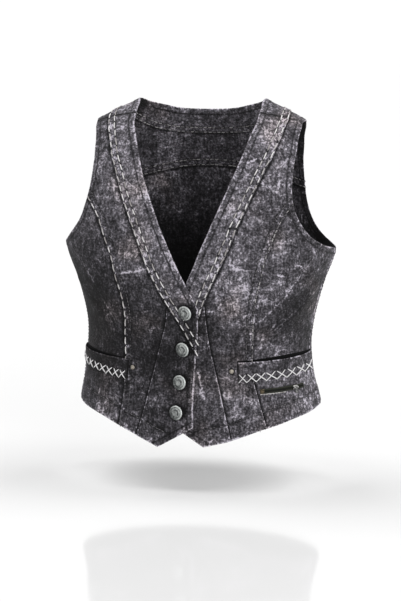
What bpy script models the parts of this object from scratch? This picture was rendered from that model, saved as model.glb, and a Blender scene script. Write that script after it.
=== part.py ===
"""Denim vest: a sleeveless waistcoat of washed black denim, hollow and filled out as when worn.

Metres, +Z up. The front faces -Y and the wearer's left is +X. The origin lies between the
shoulders, where a wearer holds the vest up. Drops run down from the highest points of the
shoulders. Breadths run out from the middle to one side, so a piece that laps past the middle
has a negative one. Angles run round the body from the middle of the front (0) over the side
(90 degrees) to the middle of the back (180).
"""
import math

import bmesh
import bpy
import numpy as np
from mathutils import Matrix, Vector


def table(columns, rows):
    """Rows of sizes as named columns."""
    return dict(zip(columns.split(), np.array(rows, dtype=float).T))


VEST = "denim_vest"
SIDES = {"right": -1, "left": 1}
ORIGIN_DROP = 0.014

# Cloth, seams and the lapped closure
CLOTH = 0.0016
DOUBLED_CLOTH = 0.0024
SEAM_GAP = 0.0003
LAP_LIFT = 0.0017
LAP_FULL_BREADTH = 0.035
LAP_END_BREADTH = 0.085
LAP_TOP_DROP = 0.160
LAP_FULL_DROP = 0.225

# Sections through the filled-out body of the vest
SECTION_SQUARENESS = 0.15
SHOULDER_TILT = 0.012
SHOULDER_TILT_DROP = 0.150
SHOULDER_SLUMP = 0.0032
SLUMP_START_BREADTH = 0.050
SLUMP_RUN = 0.050
SLUMP_DROP = 0.110
RIGHT_FULLNESS = 0.0034
FULLEST_DROP = 0.358
FULLNESS_REACH = 0.036
SECTIONS = table("drop half_width front_depth back_depth side_y", [
    (0.000, 0.088, 0.022, 0.036, 0.015),
    (0.028, 0.145, 0.045, 0.054, 0.006),
    (0.060, 0.166, 0.066, 0.074, 0.004),
    (0.100, 0.178, 0.083, 0.088, 0.003),
    (0.150, 0.185, 0.098, 0.094, 0.002),
    (0.203, 0.188, 0.107, 0.092, 0.001),
    (0.245, 0.1735, 0.105, 0.085, 0.000),
    (0.280, 0.1635, 0.100, 0.078, 0.000),
    (0.310, 0.1575, 0.094, 0.072, 0.000),
    (0.336, 0.155, 0.091, 0.070, 0.000),
    (0.370, 0.158, 0.091, 0.073, 0.000),
    (0.400, 0.164, 0.094, 0.079, 0.000),
    (0.420, 0.1685, 0.096, 0.084, 0.000),
    (0.475, 0.178, 0.099, 0.092, 0.000),
])

# Largest folds of the cloth; angles in degrees, negative on the wearer's right
FOLD_RADIUS = 0.140
FOLDS = table("start_angle start_drop end_angle end_drop width depth", [
    (66, 0.222, 38, 0.298, 0.010, 0.0016),
    (74, 0.250, 50, 0.318, 0.009, 0.0014),
    (-70, 0.250, -42, 0.316, 0.010, 0.0014),
    (-26, 0.330, -10, 0.345, 0.008, 0.0012),
    (30, 0.330, 12, 0.352, 0.009, -0.0012),
    (105, 0.330, 140, 0.318, 0.010, 0.0018),
    (-105, 0.330, -140, 0.318, 0.010, 0.0018),
    (164, 0.230, 161, 0.400, 0.014, -0.0024),
    (-164, 0.230, -161, 0.400, 0.014, -0.0024),
    (180, 0.290, 180, 0.415, 0.016, 0.0022),
])

# Seams and edges of the fronts: breadth on each side at each drop
NECK_EDGE = table("drop right left", [
    (0.000, 0.088, 0.088),
    (0.008, 0.087, 0.087),
    (0.023, 0.087, 0.085),
    (0.040, 0.0835, 0.080),
    (0.060, 0.0775, 0.0735),
    (0.080, 0.0715, 0.0665),
    (0.100, 0.0655, 0.0585),
    (0.125, 0.0555, 0.0485),
    (0.150, 0.045, 0.038),
    (0.175, 0.034, 0.0275),
    (0.200, 0.0215, 0.017),
    (0.220, 0.012, 0.009),
    (0.240, 0.002, 0.000),
    (0.258, -0.0075, -0.009),
    (0.275, -0.015, -0.018),
])
BAND_SEAM = table("drop right left", [
    (0.0215, 0.1255, 0.1245),
    (0.036, 0.123, 0.1205),
    (0.048, 0.1195, 0.117),
    (0.070, 0.114, 0.1095),
    (0.100, 0.103, 0.0955),
    (0.130, 0.0925, 0.0825),
    (0.160, 0.0795, 0.0695),
    (0.190, 0.0665, 0.058),
    (0.230, 0.049, 0.040),
    (0.262, 0.032, 0.0255),
    (0.290, 0.015, 0.015),
    (0.323, -0.0025, -0.003),
    (0.352, -0.0175, -0.0275),
])
FRONT_EDGE = table("drop right left", [
    (0.275, -0.015, -0.018),
    (0.316, -0.013, -0.022),
    (0.344, -0.010, -0.0245),
    (0.376, -0.008, -0.027),
    (0.414, -0.0065, -0.0295),
])
DART_SEAM = table("drop right left", [
    (0.255, 0.025, 0.022),
    (0.270, 0.0265, 0.0235),
    (0.297, 0.030, 0.0255),
    (0.327, 0.038, 0.029),
    (0.355, 0.045, 0.035),
    (0.386, 0.053, 0.0425),
    (0.421, 0.062, 0.051),
    (0.453, 0.0715, 0.0585),
    (0.475, 0.078, 0.0635),
])
FRONT_SEAM = table("drop right left", [
    (0.118, 0.152, 0.150),
    (0.134, 0.144, 0.140),
    (0.154, 0.130, 0.1265),
    (0.182, 0.118, 0.115),
    (0.204, 0.1085, 0.107),
    (0.237, 0.101, 0.0995),
    (0.262, 0.0935, 0.0935),
    (0.287, 0.090, 0.090),
    (0.320, 0.0905, 0.0885),
    (0.347, 0.0895, 0.0875),
    (0.377, 0.090, 0.0885),
    (0.397, 0.0915, 0.094),
    (0.423, 0.095, 0.1015),
    (0.460, 0.1005, 0.1125),
])
ARMHOLE_FRONT = table("drop right left", [
    (0.028, 0.145, 0.145),
    (0.033, 0.1425, 0.1415),
    (0.045, 0.140, 0.1395),
    (0.061, 0.139, 0.1385),
    (0.077, 0.1385, 0.1365),
    (0.093, 0.1395, 0.1355),
    (0.109, 0.141, 0.135),
    (0.124, 0.1435, 0.136),
    (0.138, 0.1475, 0.139),
    (0.152, 0.1525, 0.144),
    (0.166, 0.159, 0.152),
    (0.179, 0.1685, 0.1615),
    (0.190, 0.1775, 0.174),
    (0.203, 0.188, 0.188),
])
SHOULDER_SEAM = table("drop right left", [
    (0.0155, 0.080, 0.080),
    (0.0170, 0.089, 0.089),
    (0.0185, 0.0995, 0.0995),
    (0.0210, 0.113, 0.113),
    (0.0240, 0.1265, 0.1265),
    (0.0290, 0.1405, 0.1405),
    (0.0315, 0.1450, 0.1450),
])

# Front hems from the side seam to the point, then straight up to the front edge
HEM_RIGHT = table("breadth drop", [
    (0.1685, 0.420),
    (0.156, 0.4255),
    (0.140, 0.429),
    (0.120, 0.435),
    (0.0975, 0.444),
    (0.077, 0.4525),
    (0.058, 0.4605),
    (0.041, 0.468),
])
HEM_LEFT = table("breadth drop", [
    (0.1685, 0.420),
    (0.156, 0.4255),
    (0.140, 0.430),
    (0.120, 0.4365),
    (0.0975, 0.443),
    (0.077, 0.4505),
    (0.058, 0.457),
    (0.038, 0.462),
    (0.0215, 0.466),
])
FRONT_HEMS = {"right": HEM_RIGHT, "left": HEM_LEFT}
HEM_CORNERS = {"right": (-0.007, 0.4395), "left": (-0.030, 0.432)}

# Seams and edges of the back, the same on both sides
BACK_NECK = table("breadth drop", [
    (0.000, 0.022),
    (0.020, 0.0215),
    (0.045, 0.019),
    (0.058, 0.0155),
    (0.070, 0.0115),
    (0.080, 0.007),
    (0.085, 0.003),
])
BACK_BAND_SEAM = table("breadth drop", [
    (0.000, 0.056),
    (0.029, 0.0555),
    (0.052, 0.0535),
    (0.075, 0.0475),
    (0.095, 0.036),
    (0.110, 0.0255),
    (0.117, 0.0205),
])
RIDGE_BAND_DROP = 0.0165
YOKE_SEAM = table("breadth drop", [
    (0.000, 0.1045),
    (0.030, 0.106),
    (0.060, 0.1105),
    (0.090, 0.118),
    (0.125, 0.1275),
    (0.145, 0.133),
])
ARMHOLE_BACK = table("drop breadth", [
    (0.036, 0.142),
    (0.047, 0.139),
    (0.065, 0.1365),
    (0.083, 0.1345),
    (0.101, 0.134),
    (0.118, 0.135),
    (0.136, 0.1365),
    (0.152, 0.1395),
    (0.169, 0.1455),
    (0.184, 0.155),
    (0.194, 0.1665),
    (0.200, 0.178),
    (0.203, 0.188),
])
BACK_HEM = table("breadth drop", [
    (0.1685, 0.420),
    (0.150, 0.421),
    (0.100, 0.424),
    (0.050, 0.426),
    (0.000, 0.4265),
])
SIDE_SEAM_DROPS = (0.203, 0.420)

# Grid cells along each run of seam, shared by the two pieces that meet there
DART_CELLS = 12
BAND_CELLS = 20
FRONT_SEAM_CELLS = 22
ARMHOLE_CELLS = 10
SHOULDER_CELLS = 6
SIDE_FRONT_CELLS = 8
LAP_CELLS = 5
HEM_POINT_CELLS = 3
BAND_WIDTH_CELLS = 3
YOKE_ARMHOLE_CELLS = 8
BACK_HALF_CELLS = 10
BACK_ARMHOLE_CELLS = 7

# Pocket welts: a strip from the inner end round to just short of the side seam
WELT_OUTER_ANGLE = 85
WELT_GAPE = 0.0026
WELT_CELLS = (14, 3)
WELTS = table("inner_breadth inner_top inner_bottom outer_top outer_bottom", [
    (0.083, 0.352, 0.379, 0.347, 0.369),
    (0.066, 0.350, 0.376, 0.3445, 0.366),
])

# Short zip below the left welt, with its slider and its hinged pull tab
ZIP_WIDTH = 0.0064
ZIP_TAPE = 0.0010
ZIP_CELLS = (10, 1)
ZIP_ENDS = table("breadth drop", [
    (0.0985, 0.390),
    (0.150, 0.3875),
])
SLIDER_PLACE = 0.80
SLIDER_SIZE = (0.0070, 0.0054, 0.0014)
BRIDGE_POST = (0.0010, 0.0020, 0.0030)
BRIDGE_BAR_RADIUS = 0.00045
BRIDGE_BAR_HEIGHT = 0.0031
TAB_KNUCKLE_RADIUS = 0.0013
TAB_BORE_RADIUS = 0.00078
TAB_KNUCKLE_LENGTH = 0.0030
TAB_PLATE = (0.0040, 0.0072, 0.0008)
ROUND_SIDES = 16

# Metal tack buttons on the right front edge, leaning towards the wearer's right, and rivets
BUTTONS = table("breadth drop", [
    (0.000, 0.278),
    (0.005, 0.331),
    (0.009, 0.378),
    (0.013, 0.4195),
])
BUTTON_LEAN = 20
SHANK_RADIUS = 0.0022
TURNED_STEPS = 20
BUTTON_PROFILE = table("radius height", [
    (0.0000, 0.0000),
    (0.0022, 0.0000),
    (0.0022, 0.0034),
    (0.0094, 0.0036),
    (0.0102, 0.0044),
    (0.0100, 0.0054),
    (0.0086, 0.0060),
    (0.0040, 0.0058),
    (0.0000, 0.0059),
])
RIVETS = table("breadth drop", [
    (0.078, 0.3625),
    (0.059, 0.362),
])
RIVET_PROFILE = table("radius height", [
    (0.0000, 0.0000),
    (0.0030, 0.0000),
    (0.0029, 0.0006),
    (0.0018, 0.0012),
    (0.0000, 0.0013),
])

# Finishes: base colour, roughness, metallic
WASHED_DENIM = ((0.055, 0.055, 0.060), 0.92, 0.0)
BAND_DENIM = ((0.065, 0.063, 0.066), 0.92, 0.0)
AGED_METAL = ((0.36, 0.35, 0.34), 0.45, 1.0)
ZIP_CLOTH = ((0.018, 0.020, 0.019), 0.85, 0.0)


def smooth_column(knots, values, at):
    """Cubic curve through table rows, with each slope taken from the rows beside it."""
    slopes = np.gradient(values, knots)
    cell = np.clip(np.searchsorted(knots, at) - 1, 0, len(knots) - 2)
    width = knots[cell + 1] - knots[cell]
    step = (at - knots[cell]) / width
    rest = 1 - step
    from_start = values[cell] * (1 + 2 * step) + slopes[cell] * width * step
    from_end = values[cell + 1] * (1 + 2 * rest) - slopes[cell + 1] * width * rest
    return from_start * rest ** 2 + from_end * step ** 2


def ease(amount):
    """Smooth step from 0 to 1."""
    amount = np.clip(amount, 0, 1)
    return amount * amount * (3 - 2 * amount)


def section(drop, column):
    """One size of the body's section at a drop."""
    return smooth_column(SECTIONS["drop"], SECTIONS[column], np.asarray(drop, dtype=float))


def torso(angle, drop):
    """Points of the filled-out body at angles and drops."""
    drop = np.asarray(drop, dtype=float)
    across = np.sin(angle)
    forward = np.cos(angle)
    depth = np.where(forward > 0, section(drop, "front_depth"), section(drop, "back_depth"))
    fullness = RIGHT_FULLNESS * np.exp(-((drop - FULLEST_DROP) / FULLNESS_REACH) ** 2)
    x = section(drop, "half_width") * across - fullness * ease(-across) ** 2
    y = section(drop, "side_y") - depth * forward * (1 + SECTION_SQUARENESS * across ** 2)
    tilt = SHOULDER_TILT * ease(1 - drop / SHOULDER_TILT_DROP)
    slump = SHOULDER_SLUMP * ease((abs(x) - SLUMP_START_BREADTH) / SLUMP_RUN) * ease(1 - drop / SLUMP_DROP)
    z = ORIGIN_DROP - drop + tilt * x - slump
    return np.stack([x, y, z], axis=-1)


def slopes_of_torso(angle, drop):
    """Directions in which the body's surface runs with the angle and with the drop."""
    turn = 1e-4
    fall = 1e-5
    by_angle = (torso(angle + turn, drop) - torso(angle - turn, drop)) / (2 * turn)
    by_drop = (torso(angle, drop + fall) - torso(angle, drop - fall)) / (2 * fall)
    return by_angle, by_drop


def nearest_on_torso(points):
    """Angle and drop of the body's surface nearest to each point."""
    drop = ORIGIN_DROP - points[..., 2]
    forward = section(drop, "side_y") - points[..., 1]
    depth = np.where(forward > 0, section(drop, "front_depth"), section(drop, "back_depth"))
    angle = np.arctan2(points[..., 0] / section(drop, "half_width"), forward / depth)
    for _ in range(10):
        by_angle, by_drop = slopes_of_torso(angle, drop)
        miss = points - torso(angle, drop)
        aa = (by_angle * by_angle).sum(-1)
        ad = (by_angle * by_drop).sum(-1)
        dd = (by_drop * by_drop).sum(-1)
        am = (by_angle * miss).sum(-1)
        dm = (by_drop * miss).sum(-1)
        span = aa * dd - ad * ad
        angle = angle + (am * dd - dm * ad) / span
        drop = np.clip(drop + (dm * aa - am * ad) / span, 0, SECTIONS["drop"][-1])
    return angle, drop


def fold_height(angle, drop):
    """How far the largest folds lift the cloth off the body's surface."""
    height = np.zeros_like(drop)
    for row in range(len(FOLDS["depth"])):
        fold = {name: values[row] for name, values in FOLDS.items()}
        start_angle = math.radians(fold["start_angle"])
        run = np.array([(math.radians(fold["end_angle"]) - start_angle) * FOLD_RADIUS,
                        fold["end_drop"] - fold["start_drop"]])
        turn = (angle - start_angle + math.pi) % (2 * math.pi) - math.pi
        here = np.stack([turn * FOLD_RADIUS, drop - fold["start_drop"]], axis=-1)
        along = np.clip(here @ run / (run @ run), 0, 1)
        off = np.linalg.norm(here - along[..., None] * run, axis=-1)
        height = height + fold["depth"] * np.exp(-(off / fold["width"]) ** 2)
    return height


def lap_height(angle, drop, side_name):
    """The right front lies over the left one at the closure."""
    if side_name is None:
        return 0.0
    side = SIDES[side_name]
    breadth = side * section(drop, "half_width") * np.sin(angle)
    near = ease((LAP_END_BREADTH - breadth) / (LAP_END_BREADTH - LAP_FULL_BREADTH))
    low = ease((drop - LAP_TOP_DROP) / (LAP_FULL_DROP - LAP_TOP_DROP))
    return -side * LAP_LIFT * near * low


def cloth_points(angle, drop, side_name, lift=0.0):
    """Points of the cloth's middle surface, moved out by a lift, and the outward directions."""
    by_angle, by_drop = slopes_of_torso(angle, drop)
    out = np.cross(by_drop, by_angle)
    out = out / np.linalg.norm(out, axis=-1, keepdims=True)
    height = fold_height(angle, drop) + lap_height(angle, drop, side_name) + lift
    return torso(angle, drop) + out * height[..., None], out


def angle_of(breadth, drop, on_back=False):
    """Angle on one side of the body for a breadth on the front or the back."""
    angle = np.arcsin(np.clip(breadth / section(drop, "half_width"), -1, 1))
    return math.pi - angle if on_back else angle


def trace(angles, drops):
    """A fine smooth line through points given by angle and drop."""
    points = np.stack([np.concatenate(angles), np.concatenate(drops)], axis=-1)
    steps = np.linalg.norm(np.diff(points * (FOLD_RADIUS, 1), axis=0), axis=-1)
    knots = np.concatenate([[0], np.cumsum(steps)])
    at = np.linspace(0, knots[-1], 400)
    return np.stack([smooth_column(knots, points[:, axis], at) for axis in (0, 1)], axis=-1)


def front_trace(rows, side_name):
    """A line on one front from its table of breadths."""
    return trace([angle_of(rows[side_name], rows["drop"])], [rows["drop"]])


def crossing(first, second):
    """Where two fine lines cross, as a place along each."""
    start = first[:-1, None]
    run = np.diff(first, axis=0)[:, None]
    other = second[None, :-1]
    other_run = np.diff(second, axis=0)[None]
    gap = other - start
    turn = run[..., 0] * other_run[..., 1] - run[..., 1] * other_run[..., 0]
    turn = np.where(abs(turn) < 1e-15, 1e-15, turn)
    along = (gap[..., 0] * other_run[..., 1] - gap[..., 1] * other_run[..., 0]) / turn
    other_along = (gap[..., 0] * run[..., 1] - gap[..., 1] * run[..., 0]) / turn
    miss = np.maximum(abs(along - 0.5), abs(other_along - 0.5))
    row, column = np.unravel_index(miss.argmin(), miss.shape)
    return row + along[row, column], column + other_along[row, column]


def seam_lines(side_name):
    """Every seam and edge of one side as a fine line of angles and drops."""
    ridge = np.array([math.pi / 2])
    hem = FRONT_HEMS[side_name]
    point = np.array([hem["breadth"][-1], hem["drop"][-1]])
    corner = np.array(HEM_CORNERS[side_name])
    corner_run = np.linspace(corner, point, 5)
    front_edge = np.append(FRONT_EDGE["drop"], corner[1])
    front_edge_breadth = np.append(FRONT_EDGE[side_name], corner[0])
    side_drops = np.linspace(*SIDE_SEAM_DROPS, 9)
    return {
        "neck": trace(
            [angle_of(BACK_NECK["breadth"], BACK_NECK["drop"], True),
             angle_of(NECK_EDGE[side_name], NECK_EDGE["drop"])],
            [BACK_NECK["drop"], NECK_EDGE["drop"]]),
        "band": trace(
            [angle_of(BACK_BAND_SEAM["breadth"], BACK_BAND_SEAM["drop"], True), ridge,
             angle_of(BAND_SEAM[side_name], BAND_SEAM["drop"])],
            [BACK_BAND_SEAM["drop"], [RIDGE_BAND_DROP], BAND_SEAM["drop"]]),
        "armhole": trace(
            [angle_of(ARMHOLE_FRONT[side_name], ARMHOLE_FRONT["drop"])[::-1],
             angle_of(ARMHOLE_BACK["breadth"], ARMHOLE_BACK["drop"], True)],
            [ARMHOLE_FRONT["drop"][::-1], ARMHOLE_BACK["drop"]]),
        "front_edge": trace([angle_of(front_edge_breadth, front_edge)], [front_edge]),
        "dart": front_trace(DART_SEAM, side_name),
        "front_seam": front_trace(FRONT_SEAM, side_name),
        "shoulder": front_trace(SHOULDER_SEAM, side_name),
        "hem": trace([angle_of(hem["breadth"], hem["drop"])], [hem["drop"]]),
        "hem_rise": trace([angle_of(corner_run[:, 0], corner_run[:, 1])], [corner_run[:, 1]]),
        "side": trace([np.full(9, math.pi / 2)], [side_drops]),
        "yoke": trace([angle_of(YOKE_SEAM["breadth"], YOKE_SEAM["drop"], True)],
                      [YOKE_SEAM["drop"]]),
        "back_hem": trace([angle_of(BACK_HEM["breadth"], BACK_HEM["drop"], True)],
                          [BACK_HEM["drop"]]),
    }


def along(side_name, line, start, end, cells):
    """Points at even steps along a line, from one place on it to another."""
    places = np.linspace(start, end, 300)
    index = np.arange(len(line))
    angle = np.interp(places, index, line[:, 0])
    drop = np.interp(places, index, line[:, 1])
    points = torso(SIDES[side_name] * angle, drop)
    steps = np.linalg.norm(np.diff(points, axis=0), axis=-1)
    length = np.concatenate([[0], np.cumsum(steps)])
    even = np.linspace(0, length[-1], cells + 1)
    return np.stack([np.interp(even, length, points[:, axis]) for axis in range(3)], axis=-1)


def joined(*runs):
    """Runs of points end to end, without the repeated corners."""
    return np.concatenate([runs[0]] + [run[1:] for run in runs[1:]])


def side_edges(side_name):
    """The runs of seam and edge that bound the pieces of one side."""
    line = seam_lines(side_name)
    last = {name: len(points) - 1 for name, points in line.items()}
    neck_shoulder, shoulder_neck = crossing(line["neck"], line["shoulder"])
    band_shoulder, shoulder_band = crossing(line["band"], line["shoulder"])
    arm_shoulder, shoulder_arm = crossing(line["armhole"], line["shoulder"])
    band_dart, dart_band = crossing(line["band"], line["dart"])
    band_edge, edge_band = crossing(line["band"], line["front_edge"])
    dart_hem, hem_dart = crossing(line["dart"], line["hem"])
    seam_hem, hem_seam = crossing(line["front_seam"], line["hem"])
    seam_arm, arm_seam = crossing(line["front_seam"], line["armhole"])
    yoke_arm, arm_yoke = crossing(line["yoke"], line["armhole"])

    def run(name, start, end, cells):
        return along(side_name, line[name], start, end, cells)

    neck_half_cells = YOKE_ARMHOLE_CELLS + BACK_HALF_CELLS
    return {
        "neck_front": run("neck", last["neck"], neck_shoulder, LAP_CELLS + BAND_CELLS),
        "neck_back": run("neck", neck_shoulder, 0, neck_half_cells),
        "band_end": run("front_edge", 0, edge_band, BAND_WIDTH_CELLS),
        "band_low": run("band", band_edge, band_dart, LAP_CELLS),
        "band_high": run("band", band_dart, band_shoulder, BAND_CELLS),
        "band_back": run("band", band_shoulder, 0, neck_half_cells),
        "shoulder_band": run("shoulder", shoulder_neck, shoulder_band, BAND_WIDTH_CELLS),
        "shoulder": run("shoulder", shoulder_band, shoulder_arm, SHOULDER_CELLS),
        "front_edge": run("front_edge", last["front_edge"], edge_band, DART_CELLS),
        "dart": run("dart", dart_hem, dart_band, DART_CELLS),
        "front_seam": run("front_seam", seam_hem, seam_arm, FRONT_SEAM_CELLS),
        "hem_rise": run("hem_rise", 0, last["hem_rise"], HEM_POINT_CELLS),
        "hem_point": run("hem", last["hem"], hem_dart, LAP_CELLS - HEM_POINT_CELLS),
        "hem_front": run("hem", hem_dart, hem_seam, SHOULDER_CELLS),
        "hem_side": run("hem", hem_seam, 0, SIDE_FRONT_CELLS),
        "armhole_front": run("armhole", arm_seam, arm_shoulder, ARMHOLE_CELLS),
        "armhole_side": run("armhole", arm_seam, 0, SIDE_FRONT_CELLS),
        "armhole_yoke": run("armhole", arm_shoulder, arm_yoke, YOKE_ARMHOLE_CELLS),
        "armhole_back": run("armhole", last["armhole"], arm_yoke, BACK_ARMHOLE_CELLS),
        "side": run("side", last["side"], 0, FRONT_SEAM_CELLS),
        "yoke": run("yoke", yoke_arm, 0, BACK_HALF_CELLS),
        "back_hem": run("back_hem", 0, last["back_hem"], BACK_HALF_CELLS),
    }


def filled(bottom, top, inner, outer):
    """A grid of points that fills four runs of edge; inner and outer run from bottom to top."""
    u = np.linspace(0, 1, len(bottom))[None, :, None]
    v = np.linspace(0, 1, len(inner))[:, None, None]
    between_rows = bottom[None] * (1 - v) + top[None] * v
    between_columns = inner[:, None] * (1 - u) + outer[:, None] * u
    low = bottom[0] * (1 - u) + bottom[-1] * u
    high = top[0] * (1 - u) + top[-1] * u
    return between_rows + between_columns - low * (1 - v) - high * v


def drawn_in(points, inset):
    """Move the edges of a grid of points inwards, so that a seam keeps its gap."""
    for axis in (0, 1):
        grid = np.moveaxis(points, axis, 0)
        first = grid[1] - grid[0]
        final = grid[-2] - grid[-1]
        grid[0] += inset * first / np.linalg.norm(first, axis=-1, keepdims=True)
        grid[-1] += inset * final / np.linalg.norm(final, axis=-1, keepdims=True)
    return points


def finish_material(name, finish):
    """A plain material with its own colour, roughness and metal value."""
    colour, roughness, metallic = finish
    material = bpy.data.materials.new(name)
    material.use_nodes = True
    shader = material.node_tree.nodes["Principled BSDF"]
    shader.inputs["Base Color"].default_value = (*colour, 1)
    shader.inputs["Roughness"].default_value = roughness
    shader.inputs["Metallic"].default_value = metallic
    return material


def new_object(name, mesh, collection, finish=None):
    """An object in a collection, with its own material."""
    item = bpy.data.objects.new(name, mesh)
    collection.objects.link(item)
    if finish is not None:
        mesh.materials.append(finish_material(name, finish))
    return item


def wall(name, points, thickness, collection, finish):
    """A cloth wall: a grid moved onto points, made solid to both sides of them."""
    rows = points.shape[0] - 1
    columns = points.shape[1] - 1
    form = bmesh.new()
    bmesh.ops.create_grid(form, x_segments=columns, y_segments=rows, size=0.5)
    for vert in form.verts:
        column = round((vert.co.x + 0.5) * columns)
        row = round((vert.co.y + 0.5) * rows)
        vert.co = points[row, column]
    mesh = bpy.data.meshes.new(name)
    form.to_mesh(mesh)
    form.free()
    item = new_object(name, mesh, collection, finish)
    solid = item.modifiers.new("cloth thickness", "SOLIDIFY")
    solid.thickness = thickness
    solid.offset = 0
    return item


def panel(name, edges, thickness, collection, side_name=None, finish=WASHED_DENIM):
    """A cut piece of cloth between four runs of seam, shaped to the body and its folds."""
    angle, drop = nearest_on_torso(filled(*edges))
    points, _ = cloth_points(angle, drop, side_name)
    return wall(name, drawn_in(points, SEAM_GAP / 2), thickness, collection, finish)


def fronts(side_name, edge, collection):
    """The four pieces of one front: front edge, front, side front and neck band."""
    panel(f"front_edge_{side_name}",
          (joined(edge["hem_rise"], edge["hem_point"]), edge["band_low"],
           edge["front_edge"], edge["dart"]),
          DOUBLED_CLOTH, collection, side_name)
    panel(f"front_{side_name}",
          (edge["hem_front"], edge["shoulder"],
           joined(edge["dart"], edge["band_high"]),
           joined(edge["front_seam"], edge["armhole_front"])),
          CLOTH, collection, side_name)
    panel(f"side_front_{side_name}",
          (edge["hem_side"], edge["armhole_side"], edge["front_seam"], edge["side"]),
          CLOTH, collection, side_name)
    panel(f"band_{side_name}",
          (edge["band_end"], edge["shoulder_band"],
           edge["neck_front"], joined(edge["band_low"], edge["band_high"])),
          DOUBLED_CLOTH, collection, side_name, BAND_DENIM)


def back_pieces(right, left, collection):
    """The neck band's back, the yoke that wraps over the shoulders, and the back."""
    panel("band_back",
          (joined(right["band_back"], left["band_back"][::-1]),
           joined(right["neck_back"], left["neck_back"][::-1]),
           right["shoulder_band"][::-1], left["shoulder_band"][::-1]),
          DOUBLED_CLOTH, collection, finish=BAND_DENIM)
    yoke_seam = joined(right["yoke"], left["yoke"][::-1])
    panel("yoke",
          (joined(right["armhole_yoke"], yoke_seam, left["armhole_yoke"][::-1]),
           joined(right["band_back"], left["band_back"][::-1]),
           right["shoulder"][::-1], left["shoulder"][::-1]),
          CLOTH, collection)
    panel("back",
          (joined(right["back_hem"], left["back_hem"][::-1]), yoke_seam,
           joined(right["side"], right["armhole_back"]),
           joined(left["side"], left["armhole_back"])),
          CLOTH, collection)


def welt(side_name, sizes, collection):
    """A pocket welt on the outside of the front, its top edge standing off a little."""
    columns, rows = WELT_CELLS
    u = np.linspace(0, 1, columns + 1)[None]
    v = np.linspace(0, 1, rows + 1)[:, None]
    top = sizes["inner_top"] * (1 - u) + sizes["outer_top"] * u
    bottom = sizes["inner_bottom"] * (1 - u) + sizes["outer_bottom"] * u
    drop = bottom * (1 - v) + top * v
    inner_angle = angle_of(sizes["inner_breadth"], sizes["inner_top"])
    angle = inner_angle * (1 - u) + math.radians(WELT_OUTER_ANGLE) * u + 0 * v
    lift = CLOTH + SEAM_GAP + WELT_GAPE * v ** 2 + 0 * u
    points, _ = cloth_points(SIDES[side_name] * angle, drop, side_name, lift)
    wall(f"welt_{side_name}", points, CLOTH, collection, WASHED_DENIM)


def zip_line(share):
    """Angle and drop on the left front at a share of the zip's length."""
    breadth = ZIP_ENDS["breadth"][0] * (1 - share) + ZIP_ENDS["breadth"][1] * share
    drop = ZIP_ENDS["drop"][0] * (1 - share) + ZIP_ENDS["drop"][1] * share
    return angle_of(breadth, drop), drop


def zip_tape(collection):
    """The zip's closed strip, lying on the left side front."""
    columns, rows = ZIP_CELLS
    angle, drop = zip_line(np.linspace(0, 1, columns + 1)[None])
    across = np.linspace(ZIP_WIDTH / 2, -ZIP_WIDTH / 2, rows + 1)[:, None]
    lift = (CLOTH + ZIP_TAPE) / 2 + SEAM_GAP
    points, _ = cloth_points(angle + 0 * across, drop + across, "left", lift)
    wall("zip_tape", points, ZIP_TAPE, collection, ZIP_CLOTH)


def seat(angle, drop, side_name, lift, along_to=None):
    """A frame on the cloth: x round the body, or towards a point, and z outwards."""
    points, out = cloth_points(np.array([angle]), np.array([drop]), side_name, lift)
    outwards = Vector(out[0])
    if along_to is None:
        round_body = Vector((0, 0, 1)).cross(outwards)
    else:
        ahead, _ = cloth_points(np.array([along_to[0]]), np.array([along_to[1]]), side_name, lift)
        round_body = Vector(ahead[0] - points[0])
    upwards = outwards.cross(round_body).normalized()
    frame = Matrix((upwards.cross(outwards), upwards, outwards)).transposed().to_4x4()
    frame.translation = Vector(points[0])
    return frame


def box_mesh(name, size, centre):
    """A box of a size about a centre."""
    form = bmesh.new()
    place = Matrix.Translation(centre) @ Matrix.Diagonal((*size, 1))
    bmesh.ops.create_cube(form, size=1, matrix=place)
    mesh = bpy.data.meshes.new(name)
    form.to_mesh(mesh)
    form.free()
    return mesh


def rod_mesh(name, radius, length, height):
    """A rod along X at a height."""
    form = bmesh.new()
    place = Matrix.Translation((0, 0, height)) @ Matrix.Rotation(math.pi / 2, 4, "Y")
    bmesh.ops.create_cone(form, cap_ends=True, segments=ROUND_SIDES, radius1=radius,
                          radius2=radius, depth=length, matrix=place)
    mesh = bpy.data.meshes.new(name)
    form.to_mesh(mesh)
    form.free()
    return mesh


def combine(item, mesh, operation, tools):
    """Join a tool shape to an object, or cut it away."""
    tool = new_object(mesh.name, mesh, tools)
    tool.matrix_world = item.matrix_world
    tool.hide_render = True
    tool.display_type = "WIRE"
    boolean = item.modifiers.new(mesh.name, "BOOLEAN")
    boolean.operation = operation
    boolean.solver = "EXACT"
    boolean.object = tool


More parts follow.
